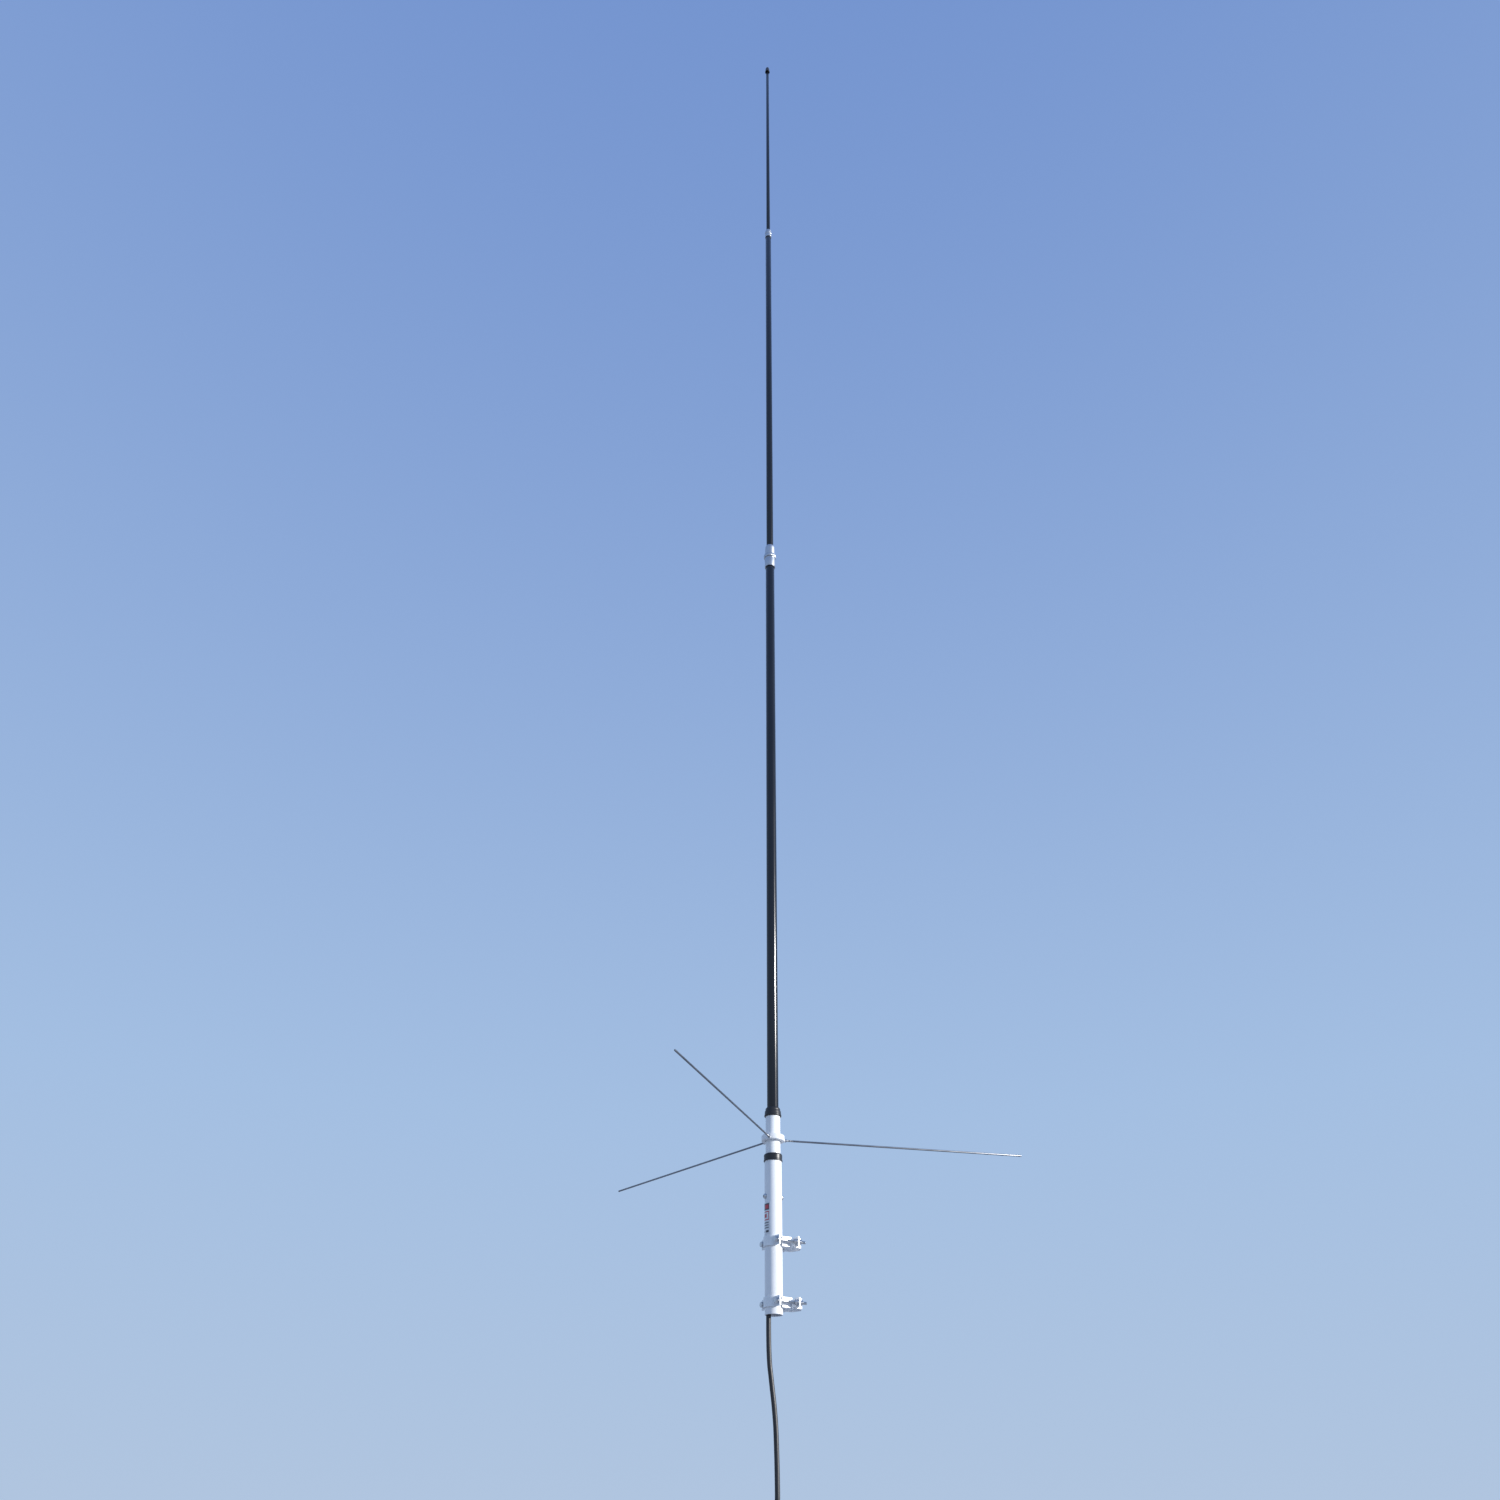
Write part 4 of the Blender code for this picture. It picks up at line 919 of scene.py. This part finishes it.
def jaw_outline():
    """The bent plate on the far side of the mast, with a toothed V."""
    apex = (MAST_RADIUS + GAP) / math.sin(VEE_HALF_ANGLE)
    outer_apex = apex + PLATE / math.sin(VEE_HALF_ANGLE)
    wall_out = JAW_WALL_Y + PLATE
    bend = 1.2 * MM
    outer = [
        (JAW_EAR_X, JAW_WALL_Y),
        (JAW_EAR_X, EAR_Y),
        (JAW_EAR_X + PLATE, EAR_Y),
        (JAW_EAR_X + PLATE, wall_out),
        (vee_x(wall_out, outer_apex, 1), wall_out),
        (outer_apex, 0),
    ]
    half = toothed((apex, 0), (vee_x(JAW_WALL_Y, apex, 1), JAW_WALL_Y), (1, 0)) + rounded(outer, bend)
    return half + [(x, -y) for x, y in reversed(half[1:-1])]


def make_clamp(shop, side, height):
    """One mast clamp: band, saddle, jaw, two bolts and four flanged nuts."""
    centre = at(z=height)
    low, high = (z - height for z in heights(f"{side}_jaw"))
    hole_radius = BOLT_RADIUS + 0.5 * MM
    edge = 0.35 * MM
    drill_from, drill_to = -70 * MM, 30 * MM
    drill = [(0, drill_from), (hole_radius, drill_from), (hole_radius, drill_to), (0, drill_to)]
    plates = (
        ("band", band_outline(), at(ANTENNA_X, 0, height), "root", True),
        ("saddle", saddle_outline(), centre, "root", False),
        ("jaw", jaw_outline(), centre, f"{side}_jaw", True),
    )
    for name, outline, place, body, drilled in plates:
        node = f"{side}_{name}"
        plate = shop.mesh(f"{node}_piece", prism(outline, low, high), place)
        if drilled:
            holes = [(lathe(drill, 32), at(0, y, 0) @ ALONG_X) for y in (-BOLT_Y, BOLT_Y)]
            shop.combine(plate, holes, "DIFFERENCE")
        shop.finish(plate, "zinc_plated_steel", body, node)
        shop.soften(plate, edge)

    seat = BAND_EAR_X - GAP
    flange_top = seat - 1.5 * MM
    head_top = flange_top - 5.5 * MM
    head = hex_rows(NUT_ACROSS, flange_top, head_top, HEX_CHAMFER)
    thread_end = BOLT_TIP_X - 1 * MM
    bolt = [(0, head_top), *reversed(head), (FLANGE_RADIUS - 0.6 * MM, flange_top)]
    bolt += [(FLANGE_RADIUS, flange_top + 0.5 * MM), (FLANGE_RADIUS, seat), (BOLT_RADIUS, seat)]
    bolt += thread_rows(BOLT_RADIUS, BOLT_THREAD_DEPTH, BOLT_PITCH, BOLT_THREAD_FROM, thread_end)
    bolt += [(BOLT_RADIUS - 0.8 * MM, BOLT_TIP_X), (0, BOLT_TIP_X)]
    bore = BOLT_RADIUS + 0.12 * MM
    foot, top = 2 * MM, 8 * MM
    nut = [(bore, 0.4 * MM), (bore + 0.4 * MM, 0), (FLANGE_RADIUS - 0.2 * MM, 0)]
    nut += [(FLANGE_RADIUS, 0.3 * MM), (FLANGE_RADIUS, 1 * MM), (6 * MM, foot - 0.2 * MM)]
    nut += [*hex_rows(NUT_ACROSS, foot, top, HEX_CHAMFER), (bore + 0.5 * MM, top), (bore, top - 0.5 * MM)]
    for end, y in (("near", -BOLT_Y), ("far", BOLT_Y)):
        body = f"{side}_{end}_nuts"
        line = centre @ at(0, y, 0)
        shop.add(f"{side}_bolt_{end}", lathe(bolt, 48), "stainless_steel", line @ ALONG_X)
        jam = line @ at(JAW_EAR_X - GAP) @ AGAINST_X
        shop.add(f"{side}_jam_nut_{end}", lathe(nut, 72, True), "stainless_steel", jam, body)
        outer = line @ at(JAW_EAR_X + PLATE + GAP) @ ALONG_X
        shop.add(f"{side}_clamp_nut_{end}", lathe(nut, 72, True), "stainless_steel", outer, body)


def make_plug(shop, end, place):
    """A coaxial plug with its cable end at local zero."""
    body = [
        (0, 0),
        (6 * MM, 0),
        (7.2 * MM, 0.6 * MM),
        (8 * MM, 2 * MM),
        (8 * MM, 6 * MM),
        (7.5 * MM, 6.5 * MM),
        (7.5 * MM, 7.5 * MM),
        (8 * MM, 8 * MM),
        (8 * MM, 18.5 * MM),
        (6.2 * MM, 18.5 * MM),
        (6.2 * MM, 26.8 * MM),
        (7.8 * MM, 26.8 * MM),
        (7.8 * MM, 29.5 * MM),
        (5.2 * MM, 29.5 * MM),
        (5.2 * MM, 42 * MM),
        (2 * MM, 42.4 * MM),
        (2 * MM, PLUG_LENGTH - 1.5 * MM),
        (1 * MM, PLUG_LENGTH),
        (0, PLUG_LENGTH),
    ]
    shop.add(f"{end}_plug_body", lathe(rounded(body, 0.4 * MM, steps=2), 64), "plated_brass", place)
    flutes = 44
    knurl = fluted(9.6 * MM, 0.45 * MM, flutes)
    smooth = 9.1 * MM
    nut = [
        (6.6 * MM, 18.8 * MM),
        (8.5 * MM, 18.8 * MM),
        (smooth, 19.6 * MM),
        (smooth, 21 * MM),
        (knurl, 21.6 * MM),
        (knurl, 34 * MM),
        (smooth, 34.6 * MM),
        (smooth, 48 * MM),
        (9.4 * MM, 48.4 * MM),
        (9.4 * MM, 50.3 * MM),
        (8.8 * MM, 51 * MM),
        (8.2 * MM, 51 * MM),
        (8.2 * MM, 26.5 * MM),
        (6.6 * MM, 26.5 * MM),
    ]
    node = f"{end}_plug_nut"
    shop.add(node, lathe(nut, 4 * flutes, True), "plated_brass", place, node)


def make_tie(shop):
    """A nylon strap round one side of the coil, with its head on the outside."""
    radial = Vector((0, math.cos(TIE_ANGLE), math.sin(TIE_ANGLE)))
    across = Vector((1, 0, 0))
    turn = Matrix((radial, across, radial.cross(across))).transposed().to_4x4()
    place = Matrix.Translation(COIL_CENTRE) @ turn
    slack = COAX_RADIUS + 0.9 * MM
    low, high = COIL_RADII[0] - slack, COIL_RADII[-1] + slack
    wide = 2 * TURN_PITCH + 0.7 * MM
    thick, half = 1.4 * MM, 2.4 * MM
    corner = 4 * MM
    hole = rounded([(low, -wide), (high, -wide), (high, wide), (low, wide)], corner, True, 5)
    edge = [(low - thick, -wide - thick), (high + thick, -wide - thick)]
    edge += [(high + thick, wide + thick), (low - thick, wide + thick)]
    edge = rounded(edge, corner + thick, True, 5)
    strap = bmesh.new()
    rows = []
    for z in (-half, half):
        for outline in (hole, edge):
            rows.append([strap.verts.new((x, y, z)) for x, y in outline])
    for first, second in ((0, 1), (1, 3), (3, 2), (2, 0)):
        this, other = rows[first], rows[second]
        for index in range(len(hole)):
            after = (index + 1) % len(hole)
            strap.faces.new((this[index], this[after], other[after], other[index]))
    tie = shop.add("coil_tie", strap, "tie_nylon", place)
    shop.soften(tie, 0.3 * MM)

    deep, broad, tall = 4 * MM, 3.5 * MM, 4.5 * MM
    head = rounded([(-deep, -broad), (deep, -broad), (deep, broad), (-deep, broad)], 1 * MM, True)
    head_place = place @ at(high + thick + 0.05 * MM, 0, 0) @ ALONG_X
    block = shop.mesh("coil_tie_head", prism(head, 0, tall), head_place)
    block.data.materials.append(shop.materials["tie_nylon"])
    block.parent = tie
    block.matrix_world = head_place
    shop.soften(block, 0.4 * MM)


def smoothstep(value):
    """0 to 1 as the value goes from 0 to 1, with a slow start and end."""
    value = min(1, max(0, value))
    return value * value * (3 - 2 * value)


def smooth_path(points, spacing):
    """Points at about this spacing on a Catmull-Rom curve through the given points."""
    knots = [Vector(point) for point in points]
    knots = [2 * knots[0] - knots[1], *knots, 2 * knots[-1] - knots[-2]]
    path = []
    for before, start, end, after in zip(knots, knots[1:], knots[2:], knots[3:]):
        steps = max(1, round((end - start).length / spacing))
        for step in range(steps):
            t = step / steps
            square = (2 * before - 5 * start + 4 * end - after) * t**2
            cube = (3 * start - before - 3 * end + after) * t**3
            path.append(0.5 * (2 * start + (end - before) * t + square + cube))
    path.append(knots[-2])
    return path


def coil_shift(turn, starts, ease=60):
    """How many shifts, each eased over some degrees, the cable has made when wound this far."""
    return sum(smoothstep((turn - start) / ease) for start in starts)


def feeder_path():
    """The cable's middle line: hanging, bent onto the coil, three layers of turns, and the free end."""
    inner, middle, outer = COIL_RADII
    hanging = [Vector(point) + Vector((ANTENNA_X, 0, 0)) for point in COAX_ROUTE]
    bend_height = math.sqrt((ENTRY_BEND + outer) ** 2 - ENTRY_BEND**2)
    contact = math.degrees(math.atan2(bend_height, ENTRY_BEND))
    entry_x = COIL_CENTRE.x + 1.5 * TURN_PITCH
    bend = []
    for degrees in range(0, round(contact), 6):
        turn = math.radians(degrees)
        across = ENTRY_BEND * (1 - math.cos(turn))
        up = bend_height - ENTRY_BEND * math.sin(turn)
        bend.append(Vector((entry_x, COIL_CENTRE.y + across, COIL_CENTRE.z + up)))
    path = smooth_path([*hanging, *bend], 8 * MM)

    last = COIL_TURNS * 360 + contact
    layers = [
        [FIRST_STEP + LAYER_SWEEP * layer + 360 * step for step in range(STEPS_ASIDE)]
        for layer in range(len(COIL_RADII))
    ]
    leaving = 100  # degrees over which the free end swings out to its place
    for turn in range(0, math.ceil(last), 10):
        shift = sum(side * coil_shift(turn, steps) for side, steps in zip((1, -1, 1), layers))
        radius = outer - (outer - middle) * coil_shift(turn, (FIRST_CLIMB,))
        radius -= (middle - inner) * coil_shift(turn, (FIRST_CLIMB + LAYER_SWEEP,))
        leave = coil_shift(turn, (last - leaving,), leaving)
        x = entry_x - TURN_PITCH * shift + (TAIL_X - entry_x + STEPS_ASIDE * TURN_PITCH) * leave
        angle = math.radians(contact - turn)
        y, z = COIL_CENTRE.y + radius * math.cos(angle), COIL_CENTRE.z + radius * math.sin(angle)
        path.append(Vector((x, y, z)))
    drop = TAIL_BOTTOM - COIL_CENTRE.z
    for part in (0, 0.5, 1):
        path.append(Vector((TAIL_X, COIL_CENTRE.y + inner, COIL_CENTRE.z + drop * part)))
    return path


def make_cable(materials):
    """The feeder as one curve."""
    curve = bpy.data.curves.new("feeder", "CURVE")
    curve.dimensions = "3D"
    curve.bevel_depth = COAX_RADIUS
    curve.bevel_resolution = 6
    curve.use_fill_caps = True
    path = feeder_path()
    spline = curve.splines.new("POLY")
    spline.points.add(len(path) - 1)
    for slot, point in zip(spline.points, path):
        slot.co = (*point, 1)
    spline.use_smooth = True
    curve.materials.append(materials["cable_jacket"])
    cable = bpy.data.objects.new("feeder", curve)
    bpy.context.scene.collection.objects.link(cable)
    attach(cable, "root")
    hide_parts("coax_run", "coax_coil", "coax_tail")
    return cable


def carry_nodes(frame, materials):
    """Nodes of the frame that stay as they are, inside the tubes, with their own finishes."""
    for finish, names in CARRIED_NODES.items():
        for name in names:
            mesh = frame["nodes"][name].data
            mesh.materials.clear()
            mesh.materials.append(materials[finish])


def main():
    remove_startup_objects()
    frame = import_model()
    materials = {name: make_finish(name, *finish) for name, finish in FINISHES.items()}
    away, right = make_camera()
    make_light(away, right, materials["floor_plaster"])
    cable = make_cable(materials)
    carry_nodes(frame, materials)
    shop = Workshop(materials)
    make_base(shop)
    make_ground_plane(shop)
    for side, joint in SECTION_JOINTS.items():
        make_section_joint(shop, side, joint)
    make_radomes(shop)
    for side, height in CLAMP_HEIGHTS.items():
        make_clamp(shop, side, height)
    make_plug(shop, "near", at(ANTENNA_X, 0, heights("near_plug_body")[0]))
    far_top = at(TAIL_X, COIL_CENTRE.y + COIL_RADII[0], heights("far_plug_body")[1])
    make_plug(shop, "far", far_top @ Matrix.Rotation(math.pi, 4, "X"))
    make_tie(shop)


main()
